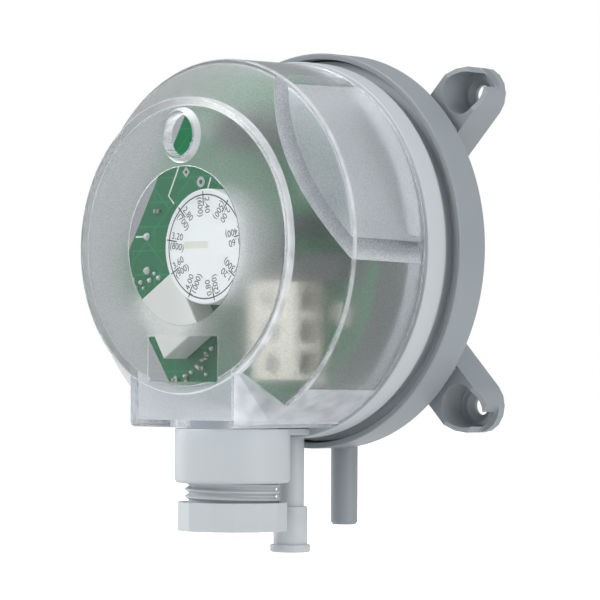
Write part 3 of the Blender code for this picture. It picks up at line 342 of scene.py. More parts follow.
def finished(piece, finish, body, *nodes):
    """Give a piece its finish and smooth shading, put it on a body, and hide the CAD nodes it stands for."""
    if finish:
        piece.data.materials.clear()
        piece.data.materials.append(finish)
    pick(piece)
    bpy.ops.object.shade_smooth_by_angle(angle=SMOOTH_ANGLE)
    weigh = piece.modifiers.new("weigh", "WEIGHTED_NORMAL")
    weigh.keep_sharp = True
    bpy.ops.object.modifier_apply(modifier=weigh.name)
    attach(piece, body)
    if nodes:
        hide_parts(*nodes)
    print(piece.name, len(piece.data.polygons), "faces")
    return piece


# %% [markdown]
# ## Moulded plastic
# ABS and similar plastics copy the steel of their mould.
# A spark-eroded mould leaves a fine even grain, so the gloss is broken up and edges look soft.
# The grain is real at about 0.2 mm and is drawn at 0.35 mm, since it would vanish otherwise.
# The colour also drifts a little over some 14 mm, as mixed pigment does.

# %% Moulded plastic
CLOUD_WIDTH = 14.0


def moulded(name, colour, roughness, grain=0.35, depth=0.012, ior=1.54, shade=0.05):
    """Plastic with a mould's grain: a little uneven in colour and gloss, with a fine bump."""
    finish, tree = empty_tree(name)
    place = add_node(tree, "ShaderNodeTexCoord").outputs["Object"]
    fine = add_node(tree, "ShaderNodeTexNoise", {
        "Vector": place, "Scale": 1.0 / (grain * MM), "Detail": 2.0})
    broad = add_node(tree, "ShaderNodeTexNoise", {
        "Vector": place, "Scale": 1.0 / (CLOUD_WIDTH * MM), "Detail": 3.0})
    base = linear(colour)
    darker = tuple(c * (1.0 - shade) for c in base[:3]) + (1.0,)
    tint = add_node(tree, "ShaderNodeMix", {"Factor": broad.outputs["Fac"], "A": darker, "B": base},
                    data_type="RGBA")
    gloss = add_node(tree, "ShaderNodeMapRange", {
        "Value": fine.outputs["Fac"], "To Min": roughness - 0.06, "To Max": roughness + 0.06})
    bump = add_node(tree, "ShaderNodeBump", {
        "Height": fine.outputs["Fac"], "Strength": 0.35, "Distance": depth * MM})
    skin = add_node(tree, "ShaderNodeBsdfPrincipled", {
        "Base Color": tint.outputs["Result"], "Roughness": gloss.outputs["Result"], "IOR": ior,
        "Normal": bump.outputs["Normal"]})
    add_node(tree, "ShaderNodeOutputMaterial", {"Surface": skin.outputs[0]})
    return finish


grey_abs = moulded("grey_moulded_abs", "#888f93", 0.42)
light_abs = moulded("light_grey_moulded_abs", "#b4babd", 0.42)
nut_nylon = moulded("light_grey_moulded_nylon", "#b6bcbf", 0.40)
white_abs = moulded("white_moulded_abs", "#eef0ef", 0.38, depth=0.006)
pale_pbt = moulded("pale_moulded_polyester", "#e9e8e3", 0.42)
cream_pbt = moulded("cream_moulded_polyester", "#e9e3d3", 0.45)
black_epoxy = moulded("black_moulded_epoxy", "#202224", 0.5, depth=0.02)
black_nylon = moulded("black_moulded_nylon", "#26282a", 0.42)
rubber = moulded("black_nitrile_rubber", "#1d1e1f", 0.72, grain=0.5, depth=0.03, ior=1.52)
print("materials so far:", len(bpy.data.materials))

# %% [markdown]
# ## Base casing
# The base is one grey moulding: a pot that lies on the wall, a ring that takes the housing, four ears.
# Pot and ring are round, so they are spun from one cross-section.

# %% Pot and ring
ROUND_STEPS = 160
POT_RADIUS = 31.0
POT_DEPTH = 10.4
RING_RADIUS = 42.5
RING_FRONT = 18.85
RING_BORE = 41.2
SEAT_FRONT = 12.4

base = turned("base_casing", [
    (0.0, 0.0), (POT_RADIUS, 0.0, 0.5), (POT_RADIUS, POT_DEPTH, 0.6),
    (RING_RADIUS, POT_DEPTH, 0.9), (RING_RADIUS, RING_FRONT, 0.35), (RING_BORE, RING_FRONT, 0.2),
    (RING_BORE, SEAT_FRONT, 0.3), (29.0, SEAT_FRONT, 0.3), (29.0, 3.0, 0.5), (0.0, 3.0)],
    steps=ROUND_STEPS)

# %% [markdown]
# ### Rear hose port
# A hose slips over this stub and brings one of the two pressures to the back of the diaphragm.
# It is a tube, so a ring-shaped outline is spun about an upright axis.

# %% Rear hose port
REAR_PORT_FRONT = 8.2
PORT_RADIUS = 2.9
PORT_BORE = 1.5


def hose_port(name, centre, top, end):
    """Hose stub that points down: a plain tube whose lip is chamfered so a hose slips on."""
    return turned(name, [
        (PORT_BORE, top), (PORT_RADIUS, top), (PORT_RADIUS, end - 0.6, 0.2), (PORT_RADIUS - 0.45, end, 0.15),
        (PORT_BORE, end, 0.2)], DOWN, centre, 48, closed=True)


rear_port = hose_port("rear_hose_port", (0.0, -REAR_PORT_FRONT, 0.0), 29.6, 59.0)
finished(rear_port, grey_abs, "casing")

# %% [markdown]
# ### Ears
# Each ear is a strut that ends in a screw well, and the outer wall of the well is cut away.
# One ear is modelled along +X, where its numbers are simple, and three copies are turned into place.

# %% Ears
EAR_WIDTH = 11.4
EAR_DEPTH = 8.5
EAR_FLOOR = 1.8
EAR_REACH = 46.67
EAR_START = 30.2
WEB_END = 40.8
LIP_DROP = 2.7


def make_ear(name):
    """Screw ear along +X: strut, open well, countersunk hole and the web under the ring."""
    half = EAR_WIDTH / 2
    end = half - 0.02
    strut = prism(name, [
        (EAR_START, -half), (EAR_REACH + half, -half, end), (EAR_REACH + half, half, end), (EAR_START, half)],
        Vector((0.0, 0.0, 0.0)), FRONT * EAR_DEPTH)
    web = prism("web", rectangle(EAR_START, WEB_END, -half + 0.4, half - 0.4), FRONT * 0.5, FRONT * 10.2)
    combine(strut, web, "UNION")
    well = turned("well", [
        (0.0, -1.0), (2.0, -1.0), (2.0, EAR_FLOOR - 0.9), (3.3, EAR_FLOOR), (4.6, EAR_FLOOR, 0.3),
        (4.6, 10.0), (0.0, 10.0)], FRONT, (EAR_REACH, 0.0, 0.0), 48)
    combine(strut, well, "DIFFERENCE")
    open_side = half * math.cos(math.radians(45))
    notch = prism("notch", [
        (EAR_REACH - open_side, EAR_DEPTH + LIP_DROP), (EAR_REACH + open_side, EAR_DEPTH - LIP_DROP),
        (EAR_REACH + open_side, EAR_FLOOR, 0.4), (EAR_REACH + EAR_WIDTH, EAR_FLOOR),
        (EAR_REACH + EAR_WIDTH, EAR_DEPTH + LIP_DROP)],
        DOWN * 8.0, -DOWN * 16.0, SIDE, FRONT)
    combine(strut, notch, "DIFFERENCE")
    return soften(strut, 0.25, 2)


first_ear = make_ear("ear_1")
ears = [first_ear]
for number in range(2, 5):
    copy = first_ear.copy()
    copy.data = first_ear.data.copy()
    copy.name = f"ear_{number}"
    bpy.context.scene.collection.objects.link(copy)
    ears.append(copy)
for number, ear in enumerate(ears):
    ear.data.transform(Matrix.Rotation(-math.radians(45 + 90 * number), 4, "Y"))
    finished(ear, grey_abs, "casing")
finished(base, grey_abs, "casing", "base")

# %% [markdown]
# ## Middle housing
# The light grey housing closes the pressure chamber and carries the board, the boss and one port.
# Its round body, floor, sensor dome and locating wall are one spun cross-section.
# Two gaps in the locating wall let the cover's foot and its cross wall through.

# %% Housing body
HOUSING_RADIUS = 40.2
FLANGE_RADIUS = 40.9
HOUSING_FRONT = 26.0
FLOOR_FRONT = 26.8
COVER_BACK = 26.3
FOOT_HALF = 15.35
WALL_INNER = 31.0
WALL_OUTER = 33.3
WALL_TURN = -math.radians(30)
WALL_CLEARANCE = 0.3

housing = turned("housing_casing", [
    (0.0, 34.9), (4.2, 34.9), (4.2, 24.8, 0.3), (36.0, 24.8, 0.4), (36.0, 13.8), (FLANGE_RADIUS, 13.8, 0.2),
    (FLANGE_RADIUS, 16.5, 0.2), (38.6, 16.5), (38.6, 19.65, 0.3), (HOUSING_RADIUS, 19.65, 1.5),
    (HOUSING_RADIUS, HOUSING_FRONT, 0.3), (37.75, HOUSING_FRONT), (37.7, 30.0, 0.4), (36.3, 30.0, 0.4),
    (36.3, FLOOR_FRONT, 0.4), (5.2, FLOOR_FRONT, 0.4), (5.2, 35.9, 0.3), (0.0, 35.9)],
    steps=ROUND_STEPS)
foot_gap = prism("foot_gap", rectangle(-FOOT_HALF, FOOT_HALF, -41.0, -31.8), FRONT * 26.1, FRONT * 6.0)
combine(housing, foot_gap, "DIFFERENCE")
wall_gap = prism("wall_gap", rectangle(
    WALL_INNER - WALL_CLEARANCE, WALL_OUTER + WALL_CLEARANCE, -36.0, 36.0), FRONT * 26.1, FRONT * 6.0)
wall_gap.data.transform(Matrix.Rotation(WALL_TURN, 4, "Y"))
combine(housing, wall_gap, "DIFFERENCE")
finished(housing, light_abs, "casing", "housing")

# %% [markdown]
# ### Gland boss
# The cable comes in from below through this hollow boss and its threaded spigot.
# It is round about an upright axis, so it is spun on its own, and a small link joins it to the housing.

# %% Gland boss
GLAND_FRONT = 42.5
GLAND_CENTRE = (0.0, -GLAND_FRONT, 0.0)
BOSS_TOP = 37.97
BOSS_END = 49.37
SPIGOT_END = 56.27
THREAD_ROOT = 9.1

boss = turned("gland_boss", [
    (6.8, 33.47, 0.3), (9.5, 33.47, 0.3), (9.5, BOSS_TOP), (12.14, BOSS_TOP, 0.2), (12.14, BOSS_END, 0.9),
    (THREAD_ROOT, BOSS_END), (THREAD_ROOT, SPIGOT_END, 0.4), (8.3, SPIGOT_END, 0.2), (8.3, 51.4),
    (6.8, 51.4)], DOWN, GLAND_CENTRE, 96, closed=True)
finished(boss, light_abs, "casing")
link = prism("gland_link", rectangle(-6.5, 6.5, -39.4, -38.0), FRONT * 25.5, FRONT * 10.0)
finished(soften(link, 0.2), light_abs, "casing")

# %% [markdown]
# ### Gland thread
# A metric thread is a ridge with 60 degree sides that climbs 1.5 mm each turn.
# One cross-section of the ridge is drawn and the Screw modifier winds it round the spigot.

# %% Gland thread
THREAD_CREST = 9.95
THREAD_PITCH = 1.5
THREAD_TURNS = 5
RIDGE_TOP = 47.6


def wound(piece, axis, rise, turns, steps, centre=(0.0, 0.0, 0.0)):
    """Wind a drawn outline round an axis, `rise` mm along it in each turn, and close both ends."""
    merge_doubles()
    bpy.ops.object.mode_set(mode="OBJECT")
    guide = bpy.data.objects.new("winding_axis", None)
    guide.location = Vector(centre) * MM
    bpy.context.scene.collection.objects.link(guide)
    wind = piece.modifiers.new("wind", "SCREW")
    wind.object = guide
    wind.axis = axis
    wind.angle = math.tau
    wind.screw_offset = rise * MM
    wind.iterations = turns
    wind.steps = steps
    wind.render_steps = steps
    pick(piece)
    bpy.ops.object.modifier_apply(modifier=wind.name)
    bpy.data.objects.remove(guide)
    bpy.ops.object.mode_set(mode="EDIT")
    merge_doubles()
    bpy.ops.mesh.fill_holes(sides=0)
    clean_up()
    return piece


ridge = draw("gland_thread", [Vector((radius, -GLAND_FRONT, -RIDGE_TOP - drop)) * MM for radius, drop in (
    (THREAD_ROOT - 0.3, 0.0), (THREAD_ROOT, 0.0), (THREAD_CREST, 0.52), (THREAD_CREST, 0.78),
    (THREAD_ROOT, 1.3), (THREAD_ROOT - 0.3, 1.3), (THREAD_ROOT - 0.3, 0.0))])
finished(wound(ridge, "Z", -THREAD_PITCH, THREAD_TURNS, 72, GLAND_CENTRE), light_abs, "casing")

# %% [markdown]
# ### Front hose port
# The second port brings the other pressure to the front of the diaphragm.
# Its stub is the same, so the function for the first one makes it too.

# %% Front hose port
FRONT_PORT_CENTRE = (-1.7, -23.2, 0.0)
front_port = hose_port("front_hose_port", FRONT_PORT_CENTRE, 37.0, 59.3)
finished(front_port, light_abs, "casing")

# %% [markdown]
# ## Gland nut, washer and seal
# The nut is a fourteen-sided moulding, easy to grip, whose lower edge is chamfered.
# It starts as a cylinder with fourteen sides, gets its edges bevelled, and is bored.
# Washer and seal are rings, each spun from its cross-section.

# %% Gland nut
NUT_SIDES = 14
NUT_TOP = 53.37
NUT_END = 59.37
NUT_RADIUS = 11.7
NUT_TURN = math.radians(98)

bpy.ops.object.select_all(action="DESELECT")
bpy.ops.mesh.primitive_cylinder_add(
    vertices=NUT_SIDES, radius=NUT_RADIUS * MM, depth=(NUT_END - NUT_TOP) * MM,
    location=(0.0, -GLAND_FRONT * MM, -(NUT_TOP + NUT_END) / 2 * MM), rotation=(0.0, 0.0, NUT_TURN))
nut = bpy.context.object
nut.name = "gland_nut_body"
bpy.ops.object.transform_apply(location=True, rotation=True, scale=True)
bore = turned("bore", [
    (0.0, 52.0), (10.2, 52.0), (10.2, 57.97), (6.5, 57.97), (6.5, 61.0), (0.0, 61.0)],
    DOWN, GLAND_CENTRE, 72)
combine(nut, bore, "DIFFERENCE")
finished(soften(nut, 0.35, 3, 20.0), nut_nylon, "nut", "gland_nut")

# %% Washer and seal
washer = turned("gland_washer_ring", rectangle(5.5, 9.9, 57.17, 57.67, 0.1), DOWN, GLAND_CENTRE, 64,
                closed=True)
finished(washer, white_abs, "washer", "gland_washer")
seal = turned("gland_seal_ring", [
    (5.0, 51.77, 0.5), (8.0, 51.77, 0.3), (8.0, 56.87, 0.3), (5.0, 56.87, 0.8)],
    DOWN, GLAND_CENTRE, 64, closed=True)
finished(seal, rubber, "casing", "gland_seal")

# %% [markdown]
# ## Port cap
# A soft PVC cap keeps dust out of the front port until a hose goes on.
# Soft clear PVC looks milky: light goes in, scatters and comes out again nearby.
# The cap is round, so it is spun, and its milkiness comes from subsurface scattering.

# %% Port cap
PVC_CLOUD = 2.5

milky_pvc, tree = empty_tree("milky_soft_pvc")
place = add_node(tree, "ShaderNodeTexCoord").outputs["Object"]
cloud = add_node(tree, "ShaderNodeTexNoise", {
    "Vector": place, "Scale": 1.0 / (PVC_CLOUD * MM), "Detail": 2.0})
bump = add_node(tree, "ShaderNodeBump", {
    "Height": cloud.outputs["Fac"], "Strength": 0.3, "Distance": 0.05 * MM})
tint = add_node(tree, "ShaderNodeMix", {
    "Factor": cloud.outputs["Fac"], "A": linear("#c6cacd"), "B": linear("#d4d7da")}, data_type="RGBA")
skin = add_node(tree, "ShaderNodeBsdfPrincipled", {
    "Base Color": tint.outputs["Result"], "Roughness": 0.33, "IOR": 1.53, "Transmission Weight": 0.25,
    "Subsurface Weight": 0.6, "Subsurface Radius": (1.0, 1.0, 1.0), "Subsurface Scale": 0.8 * MM,
    "Normal": bump.outputs["Normal"]})
add_node(tree, "ShaderNodeOutputMaterial", {"Surface": skin.outputs[0]})

cap = turned("port_cap_body", [
    (0.0, 59.6), (3.2, 59.6, 0.2), (3.2, 54.8), (3.65, 54.8, 0.15), (3.65, 62.9, 0.2), (4.35, 62.9, 0.25),
    (4.35, 64.6, 0.5), (0.0, 64.6)], DOWN, FRONT_PORT_CENTRE, 64)
finished(cap, milky_pvc, "port_cap", "port_cap")

# %% [markdown]
# ## Circuit board
# The board is glass-fibre laminate under a green lacquer; copper tracks show as lighter green lines.
# The tracks hardly stand up, so the material draws them, as the joints of two brick patterns.
# A real track is 0.2 to 0.3 mm wide, and 0.35 mm is drawn so that it shows.

# %% Board lacquer
TRACK_WIDTH = 0.35


def board_lacquer():
    """Green solder mask over copper: straight tracks in two directions, and a glossy lacquer."""
    finish, tree = empty_tree("green_solder_mask_on_laminate")
    place = add_node(tree, "ShaderNodeTexCoord").outputs["Object"]
    tracks = []
    for turn, pitch in ((0.0, 5.2), (45.0, 7.4)):
        flat = add_node(tree, "ShaderNodeMapping", {
            "Vector": place, "Rotation": (math.radians(90), 0.0, math.radians(turn))})
        bricks = add_node(tree, "ShaderNodeTexBrick", {
            "Vector": flat.outputs["Vector"], "Color1": linear("#000000"), "Color2": linear("#000000"),
            "Mortar": linear("#ffffff"), "Scale": 1.0, "Mortar Size": TRACK_WIDTH / 2 * MM,
            "Mortar Smooth": 0.2, "Brick Width": pitch * 2.6 * MM, "Row Height": pitch * MM})
        tracks.append(bricks.outputs["Color"])
    copper = add_node(tree, "ShaderNodeMath", {0: tracks[0], 1: tracks[1]}, operation="MAXIMUM")
    tint = add_node(tree, "ShaderNodeMix", {
        "Factor": copper.outputs[0], "A": linear("#066f42"), "B": linear("#128353")}, data_type="RGBA")
    bump = add_node(tree, "ShaderNodeBump", {
        "Height": copper.outputs[0], "Strength": 0.4, "Distance": 0.035 * MM})
    skin = add_node(tree, "ShaderNodeBsdfPrincipled", {
        "Base Color": tint.outputs["Result"], "Roughness": 0.28, "IOR": 1.5,
        "Normal": bump.outputs["Normal"]})
    add_node(tree, "ShaderNodeOutputMaterial", {"Surface": skin.outputs[0]})
    return finish


green_board = board_lacquer()

# %% [markdown]
# ### Board outline
# The outline is a disc with straight edges, two above, one at the lower left and one below.
# Each edge is a chord, so its ends follow from its direction and its distance from the middle.

# %% Board
BOARD_FRONT = 39.0
BOARD_BACK = 37.4
BOARD_RADIUS = 36.3
CHORDS = ((30, 30.5), (150, 30.5), (215, 34.4), (270, 31.0))
ARC_STEPS = 16
SCREW_PLACES = []
for turn, inset in zip((109, 31, 206, 334), (8.8, 13.0, 4.5, 4.5)):
    angle = math.radians(turn)
    SCREW_PLACES.append(((BOARD_RADIUS - inset) * math.cos(angle), (BOARD_RADIUS - inset) * math.sin(angle)))


def board_outline():
    """Arcs between the chords, each of which has a direction in degrees and a distance in mm."""
    corners = []
    for index, (direction, distance) in enumerate(CHORDS):
        leave = direction + math.degrees(math.acos(distance / BOARD_RADIUS))
        following, next_distance = CHORDS[(index + 1) % len(CHORDS)]
        meet = following - math.degrees(math.acos(next_distance / BOARD_RADIUS))
        meet += 360 if meet < leave else 0
        for step in range(ARC_STEPS + 1):
            angle = math.radians(leave + (meet - leave) * step / ARC_STEPS)
            corners.append((BOARD_RADIUS * math.cos(angle), BOARD_RADIUS * math.sin(angle)))
    return corners


board = prism("board_panel", board_outline(), FRONT * BOARD_BACK, FRONT * (BOARD_FRONT - BOARD_BACK))
for across, up in SCREW_PLACES:
    drill(board, 1.4, 36.0, 41.0, (across, 0.0, up))
finished(soften(board, 0.08, 1), green_board, "casing", "circuit_board")

# %% [markdown]
# ## Metals
# Small metal parts are steel, mostly with bright nickel plating, and the solder is tin.
# Turning, stamping and drawing leave faint marks, so the gloss changes a little over the surface.

# %% Metals


def metal(name, colour, roughness, mark=0.25, depth=0.004):
    """Bright metal with faint tool marks, real at 0.05 mm and drawn at `mark` mm so that they show."""
    finish, tree = empty_tree(name)
    place = add_node(tree, "ShaderNodeTexCoord").outputs["Object"]
    marks = add_node(tree, "ShaderNodeTexNoise", {
        "Vector": place, "Scale": 1.0 / (mark * MM), "Detail": 3.0})
    gloss = add_node(tree, "ShaderNodeMapRange", {
        "Value": marks.outputs["Fac"], "To Min": roughness - 0.08, "To Max": roughness + 0.1})
    bump = add_node(tree, "ShaderNodeBump", {
        "Height": marks.outputs["Fac"], "Strength": 0.4, "Distance": depth * MM})
    skin = add_node(tree, "ShaderNodeBsdfPrincipled", {
        "Base Color": linear(colour), "Metallic": 1.0, "Roughness": gloss.outputs["Result"],
        "Normal": bump.outputs["Normal"]})
    add_node(tree, "ShaderNodeOutputMaterial", {"Surface": skin.outputs[0]})
    return finish


nickel = metal("nickel_plated_steel", "#cfcdc8", 0.28)
tin = metal("tin_solder", "#d8d9da", 0.3, 0.6, 0.01)
spring_steel = metal("drawn_spring_steel", "#b4b3b0", 0.25)
magnet_nickel = metal("nickel_plated_magnet", "#bfbfbd", 0.22)

# %% [markdown]
# ### Board screws
# Four cheese-head screws hold the board on its posts.
# Each is spun from its outline, as it was turned, and its slot is cut across the head.

# %% Board screws
PART_BACK = 39.3  # the parts stand a little clear of the lacquer, as their CAD nodes do


def slotted_screw(name, place, seat, head, shank, length, finish, body, node):
    """Cheese-head screw: spun, then its slot cut across the head."""
    head_radius, head_height = head
    screw = turned(name, [
        (0.0, seat - length), (shank * 0.5, seat - length), (shank, seat - length + 0.5), (shank, seat),
        (head_radius, seat, 0.1), (head_radius, seat + head_height, 0.3), (0.0, seat + head_height)],
        FRONT, (place[0], 0.0, place[1]), 40)
    slot = prism("slot", rectangle(-5.0, 5.0, -0.25, 0.25),
                 Vector((place[0], -(seat + head_height - 0.4), place[1])), FRONT * 2.0)
    combine(screw, slot, "DIFFERENCE")
    return finished(soften(screw, 0.04, 1), finish, body, node)


for number, place in enumerate(SCREW_PLACES, 1):
    slotted_screw(f"board_screw_body_{number}", place, PART_BACK, (2.4, 1.3), 1.1, 6.0, nickel, "casing",
                  f"board_screw_{number}")

# %% [markdown]
# ## Parts on the board
# Moulded parts start as a block at their size and place, and their edges are bevelled.
# Round cans are spun with the groove that crimps their rubber plug.
# The CAD nodes say where each part stands, so its place is read from the node's box.

# %% Moulded blocks


def box_mm(node):
    """Lowest and highest corner of a CAD node in mm."""
    return [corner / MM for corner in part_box(node)]


def axis_place(node):
    """Place in mm, on the wall, of the front-to-back axis through a CAD node's middle."""
    low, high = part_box(node)
    return ((low.x + high.x) / 2 / MM, 0.0, (low.z + high.z) / 2 / MM)


def moulded_block(name, low, high, edge, turn=0.0, segments=3):
    """Box between two corners given in mm, with bevelled edges, turned about its own middle."""
    size = [abs(b - a) for a, b in zip(low, high)]
    middle = [(a + b) / 2 for a, b in zip(low, high)]
    bpy.ops.object.select_all(action="DESELECT")
    bpy.ops.mesh.primitive_cube_add(
        size=1.0, location=Vector(middle) * MM, scale=Vector(size) * MM, rotation=(0.0, turn, 0.0))
    block = bpy.context.object
    block.name = name
    bpy.ops.object.transform_apply(location=True, rotation=True, scale=True)
    bpy.ops.object.mode_set(mode="EDIT")
    bpy.ops.mesh.select_all(action="SELECT")
    bpy.ops.mesh.bevel(offset=edge * MM, segments=segments)
    bpy.ops.object.mode_set(mode="OBJECT")
    return block


# %% Relay
RELAY_WIDTH = 12.5
RELAY_HEIGHT = 14.5
RELAY_FRONT = 46.0
RELAY_TURN = math.radians(-32)

across, _, up = axis_place("relay")
relay = moulded_block(
    "relay_case", (across - RELAY_WIDTH / 2, -RELAY_FRONT, up - RELAY_HEIGHT / 2),
    (across + RELAY_WIDTH / 2, -PART_BACK, up + RELAY_HEIGHT / 2), 0.35, RELAY_TURN)
finished(relay, pale_pbt, "casing", "relay")

# %% Capacitors
black_sleeve = moulded("black_shrink_sleeve", "#1e2126", 0.3, grain=0.8, depth=0.006)


def capacitor(name, node, radius, height):
    """Can in a black shrink sleeve, spun with its crimp groove, and a dark disc that closes its top."""
    centre = axis_place(node)
    top = PART_BACK + height
    sleeve = turned(name, [
        (0.0, PART_BACK), (radius, PART_BACK, 0.3), (radius, 40.4, 0.2), (radius - 0.3, 40.8, 0.2),
        (radius, 41.2, 0.2), (radius, top, 0.4), (radius - 0.5, top), (radius - 0.6, top - 0.15),
        (0.0, top - 0.15)], FRONT, centre, 64)
    finished(sleeve, black_sleeve, "casing", node)
    disc = turned(f"{name}_top", [
        (0.0, top - 0.4), (radius - 0.6, top - 0.4), (radius - 0.6, top - 0.1, 0.05), (0.0, top - 0.1)],
        FRONT, centre, 64)
    finished(disc, black_sleeve, "casing")


capacitor("tall_capacitor", "capacitor_tall", 4.0, 10.7)
capacitor("small_capacitor", "capacitor_small", 2.5, 7.0)

# %% [markdown]
# ### Controller chip
# The chip is a block of black epoxy with four tinned legs on each side.
# A gull-wing leg is a bent strip, so its side view is drawn and extruded by the strip's width.

# %% Controller chip
LEG_PITCH = 1.27
LEG_WIDTH = 0.4

chip_low, chip_high = box_mm("controller_chip")
chip = moulded_block(
    "controller_chip_body", (chip_low.x, -40.9, chip_low.z), (chip_high.x, -39.4, chip_high.z), 0.15)
finished(chip, black_epoxy, "casing", "controller_chip")


def chip_leg(name, across, up, away):
    """Gull-wing leg: flat at the body, down, and flat on the board."""
    leg = prism(name, [
        (0.0, 40.1), (0.5, 40.1, 0.1), (0.65, 39.25, 0.1), (1.1, 39.25), (1.1, 39.05), (0.5, 39.05, 0.1),
        (0.35, 39.9, 0.1), (0.0, 39.9)],
        Vector((across, 0.0, up - LEG_WIDTH / 2)), Vector((0.0, 0.0, LEG_WIDTH)), SIDE * away, FRONT)
    return finished(leg, tin, "casing")


for row in range(4):
    up = axis_place("controller_chip")[2] + (row - 1.5) * LEG_PITCH
    chip_leg(f"chip_leg_left_{row + 1}", chip_low.x + 0.1, up, -1)
    chip_leg(f"chip_leg_right_{row + 1}", chip_high.x - 0.1, up, 1)

# %% [markdown]
# ### Painted shade beside the terminals
# A low block in black nylon stands beside the terminals as painted shade, darkening the board where shade
# falls.
# A bevelled block is all that is seen of it.

# %% Choke
# Painted shade: a black block beside the terminals.
shade_block = moulded_block("painted_shade_block", (15.2, -44.6, -6.9), (33.0, -39.1, -1.6), 0.3)
finished(shade_block, black_nylon, "casing")

# %% [markdown]
# ### Status light
# The light is a small dome on a collar, cast in clear epoxy that is very slightly hazy.
# It is spun from its outline, and the haze is a noise of about one patch to a millimetre in the gloss.

# %% Status light
clear_epoxy, tree = empty_tree("clear_cast_epoxy")
place = add_node(tree, "ShaderNodeTexCoord").outputs["Object"]
haze = add_node(tree, "ShaderNodeTexNoise", {"Vector": place, "Scale": 0.9 / MM})
gloss = add_node(tree, "ShaderNodeMapRange", {"Value": haze.outputs["Fac"], "To Min": 0.05, "To Max": 0.2})
skin = add_node(tree, "ShaderNodeBsdfPrincipled", {
    "Base Color": linear("#eef3ee"), "Roughness": gloss.outputs["Result"], "IOR": 1.53,
    "Transmission Weight": 0.8})
add_node(tree, "ShaderNodeOutputMaterial", {"Surface": skin.outputs[0]})

light = turned("status_light_lens", [
    (0.0, PART_BACK), (1.5, PART_BACK, 0.1), (1.5, 40.1, 0.1), (1.3, 40.1, 0.05), (1.3, 43.25, 1.2),
    (0.0, 43.25)], FRONT, axis_place("status_light"), 40)
finished(light, clear_epoxy, "casing", "status_light")

# %% [markdown]
# ### Potentiometer and sensor
# The potentiometer is a square case whose steel shaft carries the dial; the sensor reads the magnet.
# The case is a block with a seat drilled for the shaft, and the shaft is spun.

# %% Potentiometer and sensor
POT_HALF = 4.75
POT_FRONT = 44.3

body = moulded_block("potentiometer_case", (-POT_HALF, -POT_FRONT, -POT_HALF),
                     (POT_HALF, -PART_BACK, POT_HALF), 0.5)
drill(body, 1.4, 43.3, 46.0, steps=40)
finished(body, black_nylon, "casing", "potentiometer")
rotor = turned("potentiometer_shaft", [
    (0.0, 43.6), (1.3, 43.6, 0.1), (1.3, 47.9, 0.3), (0.0, 47.9)], steps=40)
finished(rotor, nickel, "dial", "potentiometer_rotor")
hall = moulded_block("hall_sensor_body", *box_mm("hall_sensor"), 0.15)
finished(hall, black_epoxy, "casing", "hall_sensor")

# %% [markdown]
# ## Small parts, pads and print on the board
# Pads are tinned rings round a hole and solder dots are domes, so both are spun, a square pad in 4 steps.
# Surface-mounted parts are tiny ceramic blocks with tinned ends.
# The white lines are screen-printed ink, thin strips that follow a few points.

# %% Pads and solder
SOLDER_DOTS = (
    (-29.4, 3.1, 0.9), (-29.3, -4.3, 0.9), (-33.7, -6.2, 0.6), (-31.2, -6.8, 0.55), (-28.4, -6.4, 0.6),
    (-25.6, -5.9, 0.6), (-20.0, -27.4, 0.55), (-17.3, -27.0, 0.5), (-15.3, -26.2, 0.55),
    (-13.5, -24.9, 0.6), (-12.1, -23.6, 0.5), (-10.6, -22.6, 0.55), (-9.3, -21.1, 0.6),
    (-19.2, -30.2, 0.5), (-15.0, -29.2, 0.5), (-10.8, -26.6, 0.5), (-34.9, -7.3, 0.45),
    (-32.6, -7.9, 0.4), (-30.2, -8.1, 0.4), (-26.9, -4.9, 0.45))

for name, across, up, sides in (("square_pad", -17.3, 16.7, 4), ("round_pad", -12.8, 14.4, 40)):
    pad = turned(name, rectangle(0.5, 1.15, 39.02, 39.08), FRONT, (across, 0.0, up), sides, closed=True)
    finished(pad, tin, "casing")
for number, (across, up, radius) in enumerate(SOLDER_DOTS, 1):
    dot = turned(f"solder_{number}", [
        (0.0, 38.98), (radius, 38.98), (radius * 0.92, 39.25, 0.2), (radius * 0.5, 39.3 + radius * 0.5, 0.3),
        (0.0, 39.35 + radius * 0.5)], FRONT, (across, 0.0, up), 24)
    finished(dot, tin, "casing")

# %% Surface-mounted parts
ceramic = moulded("grey_brown_ceramic", "#8d7a62", 0.45, grain=0.3, depth=0.01)
PART_LENGTH = 1.6
PART_WIDTH = 0.8
END_LENGTH = 0.4
END_WALL = 0.03
SMALL_PARTS = (
    (-13.8, -12.0, 0), (-9.6, -12.1, 1), (-13.2, -14.6, 0), (-12.2, -25.3, 0), (-16.7, -27.5, 1),
    (-10.7, -22.7, 1), (-20.1, -27.9, 0), (-22.5, 2.0, 1), (-26.0, 8.5, 0), (-20.3, 5.2, 1),
    (8.5, -27.0, 0), (-2.5, 27.5, 1), (-15.5, 22.5, 0), (-6.0, -27.5, 0))


def small_block(name, across, up, length, width, back, front, edge):
    """Block centred at a place on the board."""
    return moulded_block(name, (across - length / 2, -front, up - width / 2),
                         (across + length / 2, -back, up + width / 2), edge, segments=1)


def small_part(number, across, up, upright):
    """Ceramic block with a tinned cap on each end."""
    length, width = (PART_WIDTH, PART_LENGTH) if upright else (PART_LENGTH, PART_WIDTH)
    end_length, end_width = (length, END_LENGTH) if upright else (END_LENGTH, width)
    shift_across, shift_up = (0.0, width - 0.35) if upright else (length - 0.35, 0.0)
    core = small_block(f"small_part_{number}", across, up, length, width, 39.02, 39.6, 0.06)
    finished(core, ceramic, "casing")
    for end, side in ((1, -1), (2, 1)):
        cap = small_block(f"small_part_{number}_end_{end}", across + side * shift_across / 2,
                          up + side * shift_up / 2, end_length + 2 * END_WALL, end_width + 2 * END_WALL,
                          39.0, 39.65, 0.08)
        finished(cap, tin, "casing")


for number, (across, up, upright) in enumerate(SMALL_PARTS, 1):
    small_part(number, across, up, upright)

